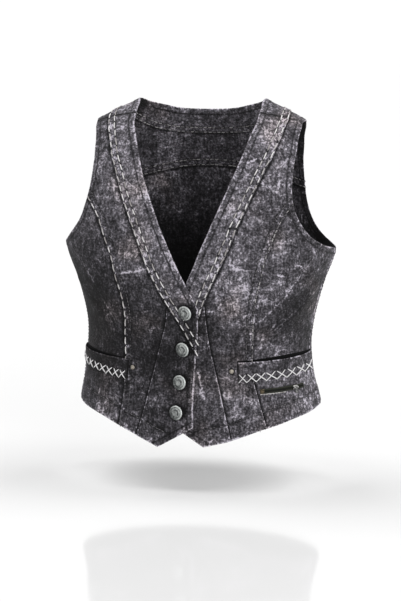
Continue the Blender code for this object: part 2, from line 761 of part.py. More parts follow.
def zip_hardware(collection, tools):
    """The slider on the tape, with a bridge bar, and the pull tab whose knuckle turns on the bar."""
    angle, drop = zip_line(SLIDER_PLACE)
    ahead = zip_line(SLIDER_PLACE + 0.05)
    length, height, thickness = SLIDER_SIZE
    lift = CLOTH / 2 + SEAM_GAP + ZIP_TAPE + SEAM_GAP
    frame = seat(angle, drop, "left", lift, ahead)

    slider = new_object("zip_slider", box_mesh("zip_slider", SLIDER_SIZE, (0, 0, thickness / 2)),
                        collection, AGED_METAL)
    slider.matrix_world = frame
    post_length, post_height, post_rise = BRIDGE_POST
    for end in (-1, 1):
        centre = (end * (length - post_length) / 2, 0, thickness / 2 + post_rise / 2)
        post = box_mesh(f"bridge_post_{end}", BRIDGE_POST, centre)
        combine(slider, post, "UNION", tools)
    bar = rod_mesh("bridge_bar", BRIDGE_BAR_RADIUS, length - post_length, BRIDGE_BAR_HEIGHT)
    combine(slider, bar, "UNION", tools)

    knuckle = rod_mesh("zip_pull_tab", TAB_KNUCKLE_RADIUS, TAB_KNUCKLE_LENGTH, 0)
    tab = new_object("zip_pull_tab", knuckle, collection, AGED_METAL)
    tab.matrix_world = frame @ Matrix.Translation((0, 0, BRIDGE_BAR_HEIGHT))
    plate_top = (TAB_BORE_RADIUS + TAB_KNUCKLE_RADIUS) / 2
    plate_centre = (0, -plate_top - TAB_PLATE[1] / 2, 0)
    combine(tab, box_mesh("tab_plate", TAB_PLATE, plate_centre), "UNION", tools)
    combine(tab, rod_mesh("tab_bore", TAB_BORE_RADIUS, 2 * TAB_KNUCKLE_LENGTH, 0), "DIFFERENCE", tools)


def turned(name, profile, frame, collection, finish):
    """A metal piece turned about its own Z axis."""
    mesh = bpy.data.meshes.new(name)
    corners = [(radius, 0, height) for radius, height in zip(profile["radius"], profile["height"])]
    edges = [(index, index + 1) for index in range(len(corners) - 1)]
    mesh.from_pydata(corners, edges, [])
    item = new_object(name, mesh, collection, finish)
    item.matrix_world = frame
    screw = item.modifiers.new("turning", "SCREW")
    screw.axis = "Z"
    screw.steps = TURNED_STEPS
    screw.render_steps = TURNED_STEPS
    screw.use_merge_vertices = True
    screw.merge_threshold = 0.00001
    screw.use_normal_flip = True
    return item


def buttons(collection):
    """Tack buttons down the right front edge, each leaning on its shank."""
    lean = math.radians(BUTTON_LEAN)
    lift = DOUBLED_CLOTH / 2 + SEAM_GAP + SHANK_RADIUS * math.sin(lean)
    for number, (breadth, drop) in enumerate(zip(BUTTONS["breadth"], BUTTONS["drop"]), start=1):
        frame = seat(SIDES["right"] * angle_of(breadth, drop), drop, "right", lift)
        turned(f"button_{number}", BUTTON_PROFILE, frame @ Matrix.Rotation(-lean, 4, "Y"),
               collection, AGED_METAL)


def rivets(collection):
    """A rivet at the inner end of each welt."""
    for index, side_name in enumerate(SIDES):
        breadth = RIVETS["breadth"][index]
        drop = RIVETS["drop"][index]
        angle = SIDES[side_name] * angle_of(breadth, drop)
        frame = seat(angle, drop, side_name, CLOTH / 2 + SEAM_GAP)
        turned(f"rivet_{side_name}", RIVET_PROFILE, frame, collection, AGED_METAL)


def build():
    """Clear the scene and make every piece of the vest."""
    for item in list(bpy.data.objects):
        bpy.data.objects.remove(item, do_unlink=True)
    collection = bpy.data.collections.new(VEST)
    tools = bpy.data.collections.new("shaping_tools")
    bpy.context.scene.collection.children.link(collection)
    bpy.context.scene.collection.children.link(tools)
    edges = {side_name: side_edges(side_name) for side_name in SIDES}
    for index, side_name in enumerate(SIDES):
        fronts(side_name, edges[side_name], collection)
        welt(side_name, {name: values[index] for name, values in WELTS.items()}, collection)
    back_pieces(edges["right"], edges["left"], collection)
    zip_tape(collection)
    zip_hardware(collection, tools)
    buttons(collection)
    rivets(collection)


build()
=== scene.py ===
"""Denim vest: the finished looks, sewn and worn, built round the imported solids.

Metres, +Z up. The front faces -Y and the wearer's left is +X. Drops run down from the tops of
the shoulders, breadths out from the middle to one side, and angles round the body from the
middle of the front (0) over the side (90 degrees) to the middle of the back (180).
"""
import math

import bmesh
import bpy
import numpy as np
from mathutils import Matrix, Vector, noise
from mathutils.bvhtree import BVHTree


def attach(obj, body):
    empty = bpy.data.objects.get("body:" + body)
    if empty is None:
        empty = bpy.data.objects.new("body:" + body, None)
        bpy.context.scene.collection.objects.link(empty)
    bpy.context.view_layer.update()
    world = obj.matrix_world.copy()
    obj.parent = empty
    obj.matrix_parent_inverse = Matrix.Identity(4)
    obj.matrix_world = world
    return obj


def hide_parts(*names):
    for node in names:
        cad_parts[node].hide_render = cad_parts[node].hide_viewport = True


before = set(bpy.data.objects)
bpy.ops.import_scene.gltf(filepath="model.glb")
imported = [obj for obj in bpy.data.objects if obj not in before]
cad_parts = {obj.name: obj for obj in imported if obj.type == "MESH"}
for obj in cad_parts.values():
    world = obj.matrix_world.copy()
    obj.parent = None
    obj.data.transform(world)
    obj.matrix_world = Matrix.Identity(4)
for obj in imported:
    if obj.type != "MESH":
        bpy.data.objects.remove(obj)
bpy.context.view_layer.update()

# Cut pieces of the body: fronts, side fronts, front edges, yoke and back, of washed black denim.
# They are sewn with lapped seams, turned in at the armholes and hems, and filled out as when worn.


def table(columns, rows):
    """Rows of sizes as named columns."""
    return dict(zip(columns.split(), np.array(rows, dtype=float).T))


SIDES = {"right": -1, "left": 1}
ORIGIN_DROP = 0.014
CLOTH = 0.0016
DOUBLED_CLOTH = 0.0024
SEAM_GAP = 0.0003
LAP_LIFT = 0.0017
LAP_FULL_BREADTH = 0.035
LAP_END_BREADTH = 0.085
LAP_TOP_DROP = 0.160
LAP_FULL_DROP = 0.225
SECTION_SQUARENESS = 0.15
SHOULDER_TILT = 0.012
SHOULDER_TILT_DROP = 0.150
SHOULDER_SLUMP = 0.0032
SLUMP_START_BREADTH = 0.050
SLUMP_RUN = 0.050
SLUMP_DROP = 0.110
RIGHT_FULLNESS = 0.0034
FULLEST_DROP = 0.358
FULLNESS_REACH = 0.036
SECTIONS = table("drop half_width front_depth back_depth side_y", [
    (0.000, 0.088, 0.022, 0.036, 0.015),
    (0.028, 0.145, 0.045, 0.054, 0.006),
    (0.060, 0.166, 0.066, 0.074, 0.004),
    (0.100, 0.178, 0.083, 0.088, 0.003),
    (0.150, 0.185, 0.098, 0.094, 0.002),
    (0.203, 0.188, 0.107, 0.092, 0.001),
    (0.245, 0.1735, 0.105, 0.085, 0.000),
    (0.280, 0.1635, 0.100, 0.078, 0.000),
    (0.310, 0.1575, 0.094, 0.072, 0.000),
    (0.336, 0.155, 0.091, 0.070, 0.000),
    (0.370, 0.158, 0.091, 0.073, 0.000),
    (0.400, 0.164, 0.094, 0.079, 0.000),
    (0.420, 0.1685, 0.096, 0.084, 0.000),
    (0.475, 0.178, 0.099, 0.092, 0.000),
])
FOLD_RADIUS = 0.140
FOLDS = table("start_angle start_drop end_angle end_drop width depth", [
    (66, 0.222, 38, 0.298, 0.010, 0.0016),
    (74, 0.250, 50, 0.318, 0.009, 0.0014),
    (-70, 0.250, -42, 0.316, 0.010, 0.0014),
    (-26, 0.330, -10, 0.345, 0.008, 0.0012),
    (30, 0.330, 12, 0.352, 0.009, -0.0012),
    (105, 0.330, 140, 0.318, 0.010, 0.0018),
    (-105, 0.330, -140, 0.318, 0.010, 0.0018),
    (164, 0.230, 161, 0.400, 0.014, -0.0024),
    (-164, 0.230, -161, 0.400, 0.014, -0.0024),
    (180, 0.290, 180, 0.415, 0.016, 0.0022),
])
NECK_EDGE = table("drop right left", [
    (0.000, 0.088, 0.088),
    (0.008, 0.087, 0.087),
    (0.023, 0.087, 0.085),
    (0.040, 0.0835, 0.080),
    (0.060, 0.0775, 0.0735),
    (0.080, 0.0715, 0.0665),
    (0.100, 0.0655, 0.0585),
    (0.125, 0.0555, 0.0485),
    (0.150, 0.045, 0.038),
    (0.175, 0.034, 0.0275),
    (0.200, 0.0215, 0.017),
    (0.220, 0.012, 0.009),
    (0.240, 0.002, 0.000),
    (0.258, -0.0075, -0.009),
    (0.275, -0.015, -0.018),
])
BAND_SEAM = table("drop right left", [
    (0.0215, 0.1255, 0.1245),
    (0.036, 0.123, 0.1205),
    (0.048, 0.1195, 0.117),
    (0.070, 0.114, 0.1095),
    (0.100, 0.103, 0.0955),
    (0.130, 0.0925, 0.0825),
    (0.160, 0.0795, 0.0695),
    (0.190, 0.0665, 0.058),
    (0.230, 0.049, 0.040),
    (0.262, 0.032, 0.0255),
    (0.290, 0.015, 0.015),
    (0.323, -0.0025, -0.003),
    (0.352, -0.0175, -0.0275),
])
FRONT_EDGE = table("drop right left", [
    (0.275, -0.015, -0.018),
    (0.316, -0.013, -0.022),
    (0.344, -0.010, -0.0245),
    (0.376, -0.008, -0.027),
    (0.414, -0.0065, -0.0295),
])
DART_SEAM = table("drop right left", [
    (0.255, 0.025, 0.022),
    (0.270, 0.0265, 0.0235),
    (0.297, 0.030, 0.0255),
    (0.327, 0.038, 0.029),
    (0.355, 0.045, 0.035),
    (0.386, 0.053, 0.0425),
    (0.421, 0.062, 0.051),
    (0.453, 0.0715, 0.0585),
    (0.475, 0.078, 0.0635),
])
FRONT_SEAM = table("drop right left", [
    (0.118, 0.152, 0.150),
    (0.134, 0.144, 0.140),
    (0.154, 0.130, 0.1265),
    (0.182, 0.118, 0.115),
    (0.204, 0.1085, 0.107),
    (0.237, 0.101, 0.0995),
    (0.262, 0.0935, 0.0935),
    (0.287, 0.090, 0.090),
    (0.320, 0.0905, 0.0885),
    (0.347, 0.0895, 0.0875),
    (0.377, 0.090, 0.0885),
    (0.397, 0.0915, 0.094),
    (0.423, 0.095, 0.1015),
    (0.460, 0.1005, 0.1125),
])
ARMHOLE_FRONT = table("drop right left", [
    (0.028, 0.145, 0.145),
    (0.033, 0.1425, 0.1415),
    (0.045, 0.140, 0.1395),
    (0.061, 0.139, 0.1385),
    (0.077, 0.1385, 0.1365),
    (0.093, 0.1395, 0.1355),
    (0.109, 0.141, 0.135),
    (0.124, 0.1435, 0.136),
    (0.138, 0.1475, 0.139),
    (0.152, 0.1525, 0.144),
    (0.166, 0.159, 0.152),
    (0.179, 0.1685, 0.1615),
    (0.190, 0.1775, 0.174),
    (0.203, 0.188, 0.188),
])
SHOULDER_SEAM = table("drop right left", [
    (0.0155, 0.080, 0.080),
    (0.0170, 0.089, 0.089),
    (0.0185, 0.0995, 0.0995),
    (0.0210, 0.113, 0.113),
    (0.0240, 0.1265, 0.1265),
    (0.0290, 0.1405, 0.1405),
    (0.0315, 0.1450, 0.1450),
])
FRONT_HEMS = {
    "right": table("breadth drop", [
        (0.1685, 0.420),
        (0.156, 0.4255),
        (0.140, 0.429),
        (0.120, 0.435),
        (0.0975, 0.444),
        (0.077, 0.4525),
        (0.058, 0.4605),
        (0.041, 0.468),
    ]),
    "left": table("breadth drop", [
        (0.1685, 0.420),
        (0.156, 0.4255),
        (0.140, 0.430),
        (0.120, 0.4365),
        (0.0975, 0.443),
        (0.077, 0.4505),
        (0.058, 0.457),
        (0.038, 0.462),
        (0.0215, 0.466),
    ]),
}
HEM_CORNERS = {"right": (-0.007, 0.4395), "left": (-0.030, 0.432)}
BACK_NECK = table("breadth drop", [
    (0.000, 0.022),
    (0.020, 0.0215),
    (0.045, 0.019),
    (0.058, 0.0155),
    (0.070, 0.0115),
    (0.080, 0.007),
    (0.085, 0.003),
])
BACK_BAND_SEAM = table("breadth drop", [
    (0.000, 0.056),
    (0.029, 0.0555),
    (0.052, 0.0535),
    (0.075, 0.0475),
    (0.095, 0.036),
    (0.110, 0.0255),
    (0.117, 0.0205),
])
RIDGE_BAND_DROP = 0.0165
YOKE_SEAM = table("breadth drop", [
    (0.000, 0.1045),
    (0.030, 0.106),
    (0.060, 0.1105),
    (0.090, 0.118),
    (0.125, 0.1275),
    (0.145, 0.133),
])
ARMHOLE_BACK = table("drop breadth", [
    (0.036, 0.142),
    (0.047, 0.139),
    (0.065, 0.1365),
    (0.083, 0.1345),
    (0.101, 0.134),
    (0.118, 0.135),
    (0.136, 0.1365),
    (0.152, 0.1395),
    (0.169, 0.1455),
    (0.184, 0.155),
    (0.194, 0.1665),
    (0.200, 0.178),
    (0.203, 0.188),
])
BACK_HEM = table("breadth drop", [
    (0.1685, 0.420),
    (0.150, 0.421),
    (0.100, 0.424),
    (0.050, 0.426),
    (0.000, 0.4265),
])
SIDE_SEAM_DROPS = (0.203, 0.420)


def smooth_column(knots, values, at):
    """Cubic curve through table rows, with each slope taken from the rows beside it."""
    slopes = np.gradient(values, knots)
    cell = np.clip(np.searchsorted(knots, at) - 1, 0, len(knots) - 2)
    width = knots[cell + 1] - knots[cell]
    step = (at - knots[cell]) / width
    rest = 1 - step
    from_start = values[cell] * (1 + 2 * step) + slopes[cell] * width * step
    from_end = values[cell + 1] * (1 + 2 * rest) - slopes[cell + 1] * width * rest
    return from_start * rest ** 2 + from_end * step ** 2


def ease(amount):
    """Smooth step from 0 to 1."""
    amount = np.clip(amount, 0, 1)
    return amount * amount * (3 - 2 * amount)


def section(drop, column):
    """One size of the body's section at a drop."""
    return smooth_column(SECTIONS["drop"], SECTIONS[column], np.asarray(drop, dtype=float))


def torso(angle, drop):
    """Points of the filled-out body at angles and drops."""
    drop = np.asarray(drop, dtype=float)
    across = np.sin(angle)
    forward = np.cos(angle)
    depth = np.where(forward > 0, section(drop, "front_depth"), section(drop, "back_depth"))
    fullness = RIGHT_FULLNESS * np.exp(-((drop - FULLEST_DROP) / FULLNESS_REACH) ** 2)
    x = section(drop, "half_width") * across - fullness * ease(-across) ** 2
    y = section(drop, "side_y") - depth * forward * (1 + SECTION_SQUARENESS * across ** 2)
    tilt = SHOULDER_TILT * ease(1 - drop / SHOULDER_TILT_DROP)
    slump = SHOULDER_SLUMP * ease((abs(x) - SLUMP_START_BREADTH) / SLUMP_RUN) * ease(1 - drop / SLUMP_DROP)
    z = ORIGIN_DROP - drop + tilt * x - slump
    return np.stack([x, y, z], axis=-1)


def slopes_of_torso(angle, drop):
    """Directions in which the body's surface runs with the angle and with the drop."""
    turn = 1e-4
    fall = 1e-5
    by_angle = (torso(angle + turn, drop) - torso(angle - turn, drop)) / (2 * turn)
    by_drop = (torso(angle, drop + fall) - torso(angle, drop - fall)) / (2 * fall)
    return by_angle, by_drop


NEAREST_ROUNDS = 10


def nearest_on_torso(points):
    """Angle and drop of the body's surface nearest to each point, by least squares steps.

    Sums of products are named by their factors: angle slope (a), drop slope (d) and miss (m).
    """
    drop = ORIGIN_DROP - points[..., 2]
    forward = section(drop, "side_y") - points[..., 1]
    depth = np.where(forward > 0, section(drop, "front_depth"), section(drop, "back_depth"))
    angle = np.arctan2(points[..., 0] / section(drop, "half_width"), forward / depth)
    for _ in range(NEAREST_ROUNDS):
        by_angle, by_drop = slopes_of_torso(angle, drop)
        miss = points - torso(angle, drop)
        aa = (by_angle * by_angle).sum(-1)
        ad = (by_angle * by_drop).sum(-1)
        dd = (by_drop * by_drop).sum(-1)
        am = (by_angle * miss).sum(-1)
        dm = (by_drop * miss).sum(-1)
        span = aa * dd - ad * ad
        angle = angle + (am * dd - dm * ad) / span
        drop = np.clip(drop + (dm * aa - am * ad) / span, 0, SECTIONS["drop"][-1])
    return angle, drop


def line_places(angle, drop, start_angle, start_drop, end_angle, end_drop):
    """How far places on the body lie from a straight line between two others, angles in degrees."""
    start = math.radians(start_angle)
    run = np.array([(math.radians(end_angle) - start) * FOLD_RADIUS, end_drop - start_drop])
    turn = (angle - start + math.pi) % (2 * math.pi) - math.pi
    here = np.stack([turn * FOLD_RADIUS, drop - start_drop], axis=-1)
    share = np.clip(here @ run / (run @ run), 0, 1)
    return np.linalg.norm(here - share[..., None] * run, axis=-1)


def fold_height(angle, drop):
    """How far the largest folds lift the cloth off the body's surface."""
    height = np.zeros_like(drop)
    for *line, width, depth in zip(*FOLDS.values()):
        height = height + depth * np.exp(-(line_places(angle, drop, *line) / width) ** 2)
    return height


def lap_height(angle, drop, side_name):
    """The right front lies over the left one at the closure."""
    if side_name is None:
        return 0.0
    side = SIDES[side_name]
    breadth = side * section(drop, "half_width") * np.sin(angle)
    near = ease((LAP_END_BREADTH - breadth) / (LAP_END_BREADTH - LAP_FULL_BREADTH))
    low = ease((drop - LAP_TOP_DROP) / (LAP_FULL_DROP - LAP_TOP_DROP))
    return -side * LAP_LIFT * near * low


def cloth_points(angle, drop, side_name, lift=0.0):
    """Points of the cloth's middle surface, moved out by a lift, and the outward directions."""
    by_angle, by_drop = slopes_of_torso(angle, drop)
    out = np.cross(by_drop, by_angle)
    out = out / np.linalg.norm(out, axis=-1, keepdims=True)
    height = fold_height(angle, drop) + lap_height(angle, drop, side_name) + lift
    return torso(angle, drop) + out * height[..., None], out


def angle_of(breadth, drop, on_back=False):
    """Angle on one side of the body for a breadth on the front or the back."""
    angle = np.arcsin(np.clip(breadth / section(drop, "half_width"), -1, 1))
    return math.pi - angle if on_back else angle


LINE_SAMPLES = 400


def trace(angles, drops):
    """A fine smooth line through points given by angle and drop."""
    points = np.stack([np.concatenate(angles), np.concatenate(drops)], axis=-1)
    steps = np.linalg.norm(np.diff(points * (FOLD_RADIUS, 1), axis=0), axis=-1)
    knots = np.concatenate([[0], np.cumsum(steps)])
    at = np.linspace(0, knots[-1], LINE_SAMPLES)
    return np.stack([smooth_column(knots, points[:, axis], at) for axis in (0, 1)], axis=-1)


def front_trace(rows, side_name):
    """A line on one front from its table of breadths."""
    return trace([angle_of(rows[side_name], rows["drop"])], [rows["drop"]])


def back_trace(rows):
    """A line on the back from its table of breadths."""
    return trace([angle_of(rows["breadth"], rows["drop"], True)], [rows["drop"]])


PARALLEL = 1e-15


def crossing(first, second):
    """Where two fine lines cross, as a place along each."""
    start = first[:-1, None]
    run = np.diff(first, axis=0)[:, None]
    other = second[None, :-1]
    other_run = np.diff(second, axis=0)[None]
    gap = other - start
    turn = run[..., 0] * other_run[..., 1] - run[..., 1] * other_run[..., 0]
    turn = np.where(abs(turn) < PARALLEL, PARALLEL, turn)
    along_first = (gap[..., 0] * other_run[..., 1] - gap[..., 1] * other_run[..., 0]) / turn
    along_second = (gap[..., 0] * run[..., 1] - gap[..., 1] * run[..., 0]) / turn
    miss = np.maximum(abs(along_first - 0.5), abs(along_second - 0.5))
    row, column = np.unravel_index(miss.argmin(), miss.shape)
    return row + along_first[row, column], column + along_second[row, column]


HEM_RISE_KNOTS = 5
SIDE_SEAM_KNOTS = 9


def seam_lines(side_name):
    """Every seam and edge of one side as a fine line of angles and drops."""
    hem = FRONT_HEMS[side_name]
    point = np.array([hem["breadth"][-1], hem["drop"][-1]])
    corner = np.array(HEM_CORNERS[side_name])
    corner_run = np.linspace(corner, point, HEM_RISE_KNOTS)
    front_edge = np.append(FRONT_EDGE["drop"], corner[1])
    front_edge_breadth = np.append(FRONT_EDGE[side_name], corner[0])
    side_drops = np.linspace(*SIDE_SEAM_DROPS, SIDE_SEAM_KNOTS)
    return {
        "neck": trace(
            [angle_of(BACK_NECK["breadth"], BACK_NECK["drop"], True),
             angle_of(NECK_EDGE[side_name], NECK_EDGE["drop"])],
            [BACK_NECK["drop"], NECK_EDGE["drop"]]),
        "band": trace(
            [angle_of(BACK_BAND_SEAM["breadth"], BACK_BAND_SEAM["drop"], True), [math.pi / 2],
             angle_of(BAND_SEAM[side_name], BAND_SEAM["drop"])],
            [BACK_BAND_SEAM["drop"], [RIDGE_BAND_DROP], BAND_SEAM["drop"]]),
        "armhole": trace(
            [angle_of(ARMHOLE_FRONT[side_name], ARMHOLE_FRONT["drop"])[::-1],
             angle_of(ARMHOLE_BACK["breadth"], ARMHOLE_BACK["drop"], True)],
            [ARMHOLE_FRONT["drop"][::-1], ARMHOLE_BACK["drop"]]),
        "front_edge": trace([angle_of(front_edge_breadth, front_edge)], [front_edge]),
        "dart": front_trace(DART_SEAM, side_name),
        "front_seam": front_trace(FRONT_SEAM, side_name),
        "shoulder": front_trace(SHOULDER_SEAM, side_name),
        "hem": trace([angle_of(hem["breadth"], hem["drop"])], [hem["drop"]]),
        "hem_rise": trace([angle_of(corner_run[:, 0], corner_run[:, 1])], [corner_run[:, 1]]),
        "side": trace([np.full(SIDE_SEAM_KNOTS, math.pi / 2)], [side_drops]),
        "yoke": back_trace(YOKE_SEAM),
        "back_hem": back_trace(BACK_HEM),
    }


def along(side_name, line, start, end, cells):
    """Points at even steps along a line, from one place on it to another."""
    places = np.linspace(start, end, LINE_SAMPLES)
    index = np.arange(len(line))
    angle = np.interp(places, index, line[:, 0])
    drop = np.interp(places, index, line[:, 1])
    points = torso(SIDES[side_name] * angle, drop)
    steps = np.linalg.norm(np.diff(points, axis=0), axis=-1)
    length = np.concatenate([[0], np.cumsum(steps)])
    even = np.linspace(0, length[-1], cells + 1)
    return np.stack([np.interp(even, length, points[:, axis]) for axis in range(3)], axis=-1)


def joined(*runs):
    """Runs of points end to end, without the repeated corners."""
    return np.concatenate([runs[0]] + [run[1:] for run in runs[1:]])


# Steps along each run of seam, in the proportions in which the pieces on both sides share them
DART_CELLS = 48
BAND_CELLS = 80
LAP_CELLS = 20
HEM_POINT_CELLS = 12
FRONT_SEAM_CELLS = 88
ARMHOLE_CELLS = 40
SHOULDER_CELLS = 24
SIDE_FRONT_CELLS = 32
BAND_WIDTH_CELLS = 12
YOKE_ARMHOLE_CELLS = 32
BACK_HALF_CELLS = 40
BACK_ARMHOLE_CELLS = 28


def side_edges(side_name):
    """The runs of seam and edge that bound the pieces of one side."""
    line = LINES[side_name]
    last = {name: len(points) - 1 for name, points in line.items()}
    neck_shoulder, shoulder_neck = crossing(line["neck"], line["shoulder"])
    band_shoulder, shoulder_band = crossing(line["band"], line["shoulder"])
    arm_shoulder, shoulder_arm = crossing(line["armhole"], line["shoulder"])
    band_dart, dart_band = crossing(line["band"], line["dart"])
    band_edge, edge_band = crossing(line["band"], line["front_edge"])
    dart_hem, hem_dart = crossing(line["dart"], line["hem"])
    seam_hem, hem_seam = crossing(line["front_seam"], line["hem"])
    seam_arm, arm_seam = crossing(line["front_seam"], line["armhole"])
    yoke_arm, arm_yoke = crossing(line["yoke"], line["armhole"])

    def run(name, start, end, cells):
        return along(side_name, line[name], start, end, cells)

    neck_half_cells = YOKE_ARMHOLE_CELLS + BACK_HALF_CELLS
    return {
        "neck_front": run("neck", last["neck"], neck_shoulder, LAP_CELLS + BAND_CELLS),
        "neck_back": run("neck", neck_shoulder, 0, neck_half_cells),
        "band_end": run("front_edge", 0, edge_band, BAND_WIDTH_CELLS),
        "band_low": run("band", band_edge, band_dart, LAP_CELLS),
        "band_high": run("band", band_dart, band_shoulder, BAND_CELLS),
        "band_back": run("band", band_shoulder, 0, neck_half_cells),
        "shoulder_band": run("shoulder", shoulder_neck, shoulder_band, BAND_WIDTH_CELLS),
        "shoulder": run("shoulder", shoulder_band, shoulder_arm, SHOULDER_CELLS),
        "front_edge": run("front_edge", last["front_edge"], edge_band, DART_CELLS),
        "dart": run("dart", dart_hem, dart_band, DART_CELLS),
        "front_seam": run("front_seam", seam_hem, seam_arm, FRONT_SEAM_CELLS),
        "hem_rise": run("hem_rise", 0, last["hem_rise"], HEM_POINT_CELLS),
        "hem_point": run("hem", last["hem"], hem_dart, LAP_CELLS - HEM_POINT_CELLS),
        "hem_front": run("hem", hem_dart, hem_seam, SHOULDER_CELLS),
        "hem_side": run("hem", hem_seam, 0, SIDE_FRONT_CELLS),
        "armhole_front": run("armhole", arm_seam, arm_shoulder, ARMHOLE_CELLS),
        "armhole_side": run("armhole", arm_seam, 0, SIDE_FRONT_CELLS),
        "armhole_yoke": run("armhole", arm_shoulder, arm_yoke, YOKE_ARMHOLE_CELLS),
        "armhole_back": run("armhole", last["armhole"], arm_yoke, BACK_ARMHOLE_CELLS),
        "side": run("side", last["side"], 0, FRONT_SEAM_CELLS),
        "yoke": run("yoke", yoke_arm, 0, BACK_HALF_CELLS),
        "back_hem": run("back_hem", 0, last["back_hem"], BACK_HALF_CELLS),
    }


LINES = {side_name: seam_lines(side_name) for side_name in SIDES}
EDGES = {side_name: side_edges(side_name) for side_name in SIDES}

# The cloth's mesh: small steps near seams and edges, wider ones between
EDGE_STRIP = 0.0125
EDGE_STRIP_LIMIT = 0.4
EDGE_STEP = 0.0009
CLOTH_STEP = 0.0023


def run_length(run):
    """Length of a run of points."""
    return np.linalg.norm(np.diff(run, axis=0), axis=-1).sum()


def shares_across(length):
    """Places across a piece, as shares of its width, close together near its two edges."""
    strip = min(EDGE_STRIP, EDGE_STRIP_LIMIT * length)
    near = np.arange(0, strip - EDGE_STEP / 2, EDGE_STEP)
    steps = max(2, round((length - 2 * strip) / CLOTH_STEP) + 1)
    middle = np.linspace(strip, length - strip, steps)
    return np.concatenate([near, middle, length - near[::-1]]) / length


def at_shares(run, shares):
    """Points at shares of a run's steps."""
    index = np.arange(len(run)) / (len(run) - 1)
    return np.stack([np.interp(shares, index, run[:, axis]) for axis in range(3)], axis=-1)


def filled(bottom, top, inner, outer):
    """A grid of points that fills four runs of edge; inner and outer run from bottom to top."""
    across = shares_across(max(run_length(bottom), run_length(top)))
    span = np.linalg.norm(bottom[len(bottom) // 2] - top[len(top) // 2])
    up = shares_across(max(run_length(inner), run_length(outer), span))
    u = across[None, :, None]
    v = up[:, None, None]
    between_rows = at_shares(bottom, across)[None] * (1 - v) + at_shares(top, across)[None] * v
    between_columns = at_shares(inner, up)[:, None] * (1 - u) + at_shares(outer, up)[:, None] * u
    low = bottom[0] * (1 - u) + bottom[-1] * u
    high = top[0] * (1 - u) + top[-1] * u
    return between_rows + between_columns - low * (1 - v) - high * v


POINTS_AT_ONCE = 4000


def beside(points, run):
    """Distance of each point from a run of seam, and how far along the run its nearest place is."""
    flat = points.reshape(-1, 3)
    step = np.diff(run, axis=0)
    squared = (step * step).sum(-1)
    reached = np.concatenate([[0], np.cumsum(np.sqrt(squared))])
    distance = np.empty(len(flat))
    place = np.empty(len(flat))
    for first in range(0, len(flat), POINTS_AT_ONCE):
        part = slice(first, first + POINTS_AT_ONCE)
        gap = flat[part, None] - run[None, :-1]
        share = np.clip((gap * step).sum(-1) / squared, 0, 1)
        miss = np.linalg.norm(gap - share[..., None] * step, axis=-1)
        best = miss.argmin(1)
        row = np.arange(len(best))
        distance[part] = miss[row, best]
        place[part] = reached[best] + share[row, best] * np.sqrt(squared[best])
    return distance.reshape(points.shape[:-1]), place.reshape(points.shape[:-1])


# How cloth lies beside each kind of seam or edge: layers raise it, the fold rolls it down, sewing
# presses rows in and draws it into puckers, and wear fades what stands proud. The shade column is
# painted shade in the gap beside a seam or under an edge; a shaded end has only that painted shade.
SEAM_COLUMNS = ("height", "width", "roll", "pucker", "pitch", "wear", "rope", "ridge", "shade")
SEAM_KINDS = {
    "lapped_over": (0.0007, 0.0112, 0.0007, 0.00026, 0.0086, 0.35, 0.60, 0.00, 0.25),
    "side": (0.0007, 0.0112, 0.0007, 0.00026, 0.0086, 0.90, 0.70, 1.05, 0.00),
    "lapped_under": (-0.0003, 0.0030, 0.0004, 0.00015, 0.0110, 0.00, 0.00, 0.00, 1.50),
    "plain": (0.0001, 0.0060, 0.0005, 0.00010, 0.0110, 0.10, 0.10, 0.00, 0.50),
    "pressed": (0.0005, 0.0070, 0.0006, 0.00022, 0.0100, 1.25, 0.35, 0.00, 0.00),
    "folded": (0.0002, 0.0060, 0.0005, 0.00010, 0.0110, 1.00, 0.15, 0.00, 0.00),
    "tucked": (0.0000, 0.0060, 0.0005, 0.00000, 0.0110, 0.00, 0.00, 0.00, 1.40),
    "shoulder": (0.0002, 0.0080, 0.0004, 0.00010, 0.0110, 0.10, 0.10, 0.00, 1.30),
    "turned": (0.0003, 0.0085, 0.0006, 0.00015, 0.0110, 0.94, 0.30, 0.00, 0.00),
    "creased": (0.0003, 0.0085, 0.0006, 0.00015, 0.0110, 1.30, 0.25, 0.00, 0.00),
    "hem": (0.0005, 0.0235, 0.0006, 0.00050, 0.0115, 1.00, 0.32, 0.60, 0.00),
}
# Rows of sewing beside a seam or edge, by their distance from it
NEAR_ROW = 0.0019
FAR_ROW = 0.0098
EDGE_ROW = 0.0070
HEM_ROW = 0.0225
SEAM_ROWS = {"lapped_over": (NEAR_ROW, FAR_ROW), "side": (NEAR_ROW,), "turned": (EDGE_ROW,),
             "creased": (EDGE_ROW,), "hem": (HEM_ROW,)}
FREE_KINDS = ("turned", "creased", "hem", "folded")
TOUCHING = 1e-4
LAYER_STEP = 0.0022
ROLL_WIDTH = 0.0024
ROW_DEPTH = 0.00022
ROW_WIDTH = 0.0010
ROW_SHADE = 1.0
WEAR_WIDTH = 0.0013
SHADE_WIDTH = 0.0023
PUCKER_REACH = 0.006
DRIFT_SIZE = 0.030
RIPPLE_DRIFT = 5
# Wear of a rim, of the ropy cloth behind it and of a ridge, and what chance or the puckers add to it
RIM_WEAR = 0.75
RIM_DRIFT = 0.35
ROPE_WEAR = 0.65
ROPE_RIPPLE = 0.25
ROPE_DRIFT = 0.4
RIDGE_WEAR = 0.8
RIDGE_DRIFT = 0.5
NOISE_LANE = 7.3
NOISE_LEVEL = 0.37


def wavering(places, size, seed):
    """Smooth chance variation along a run, between about -1 and 1."""
    lane = seed * NOISE_LANE
    flat = np.array([noise.noise((place / size, lane, NOISE_LEVEL)) for place in places.ravel()])
    return flat.reshape(places.shape)


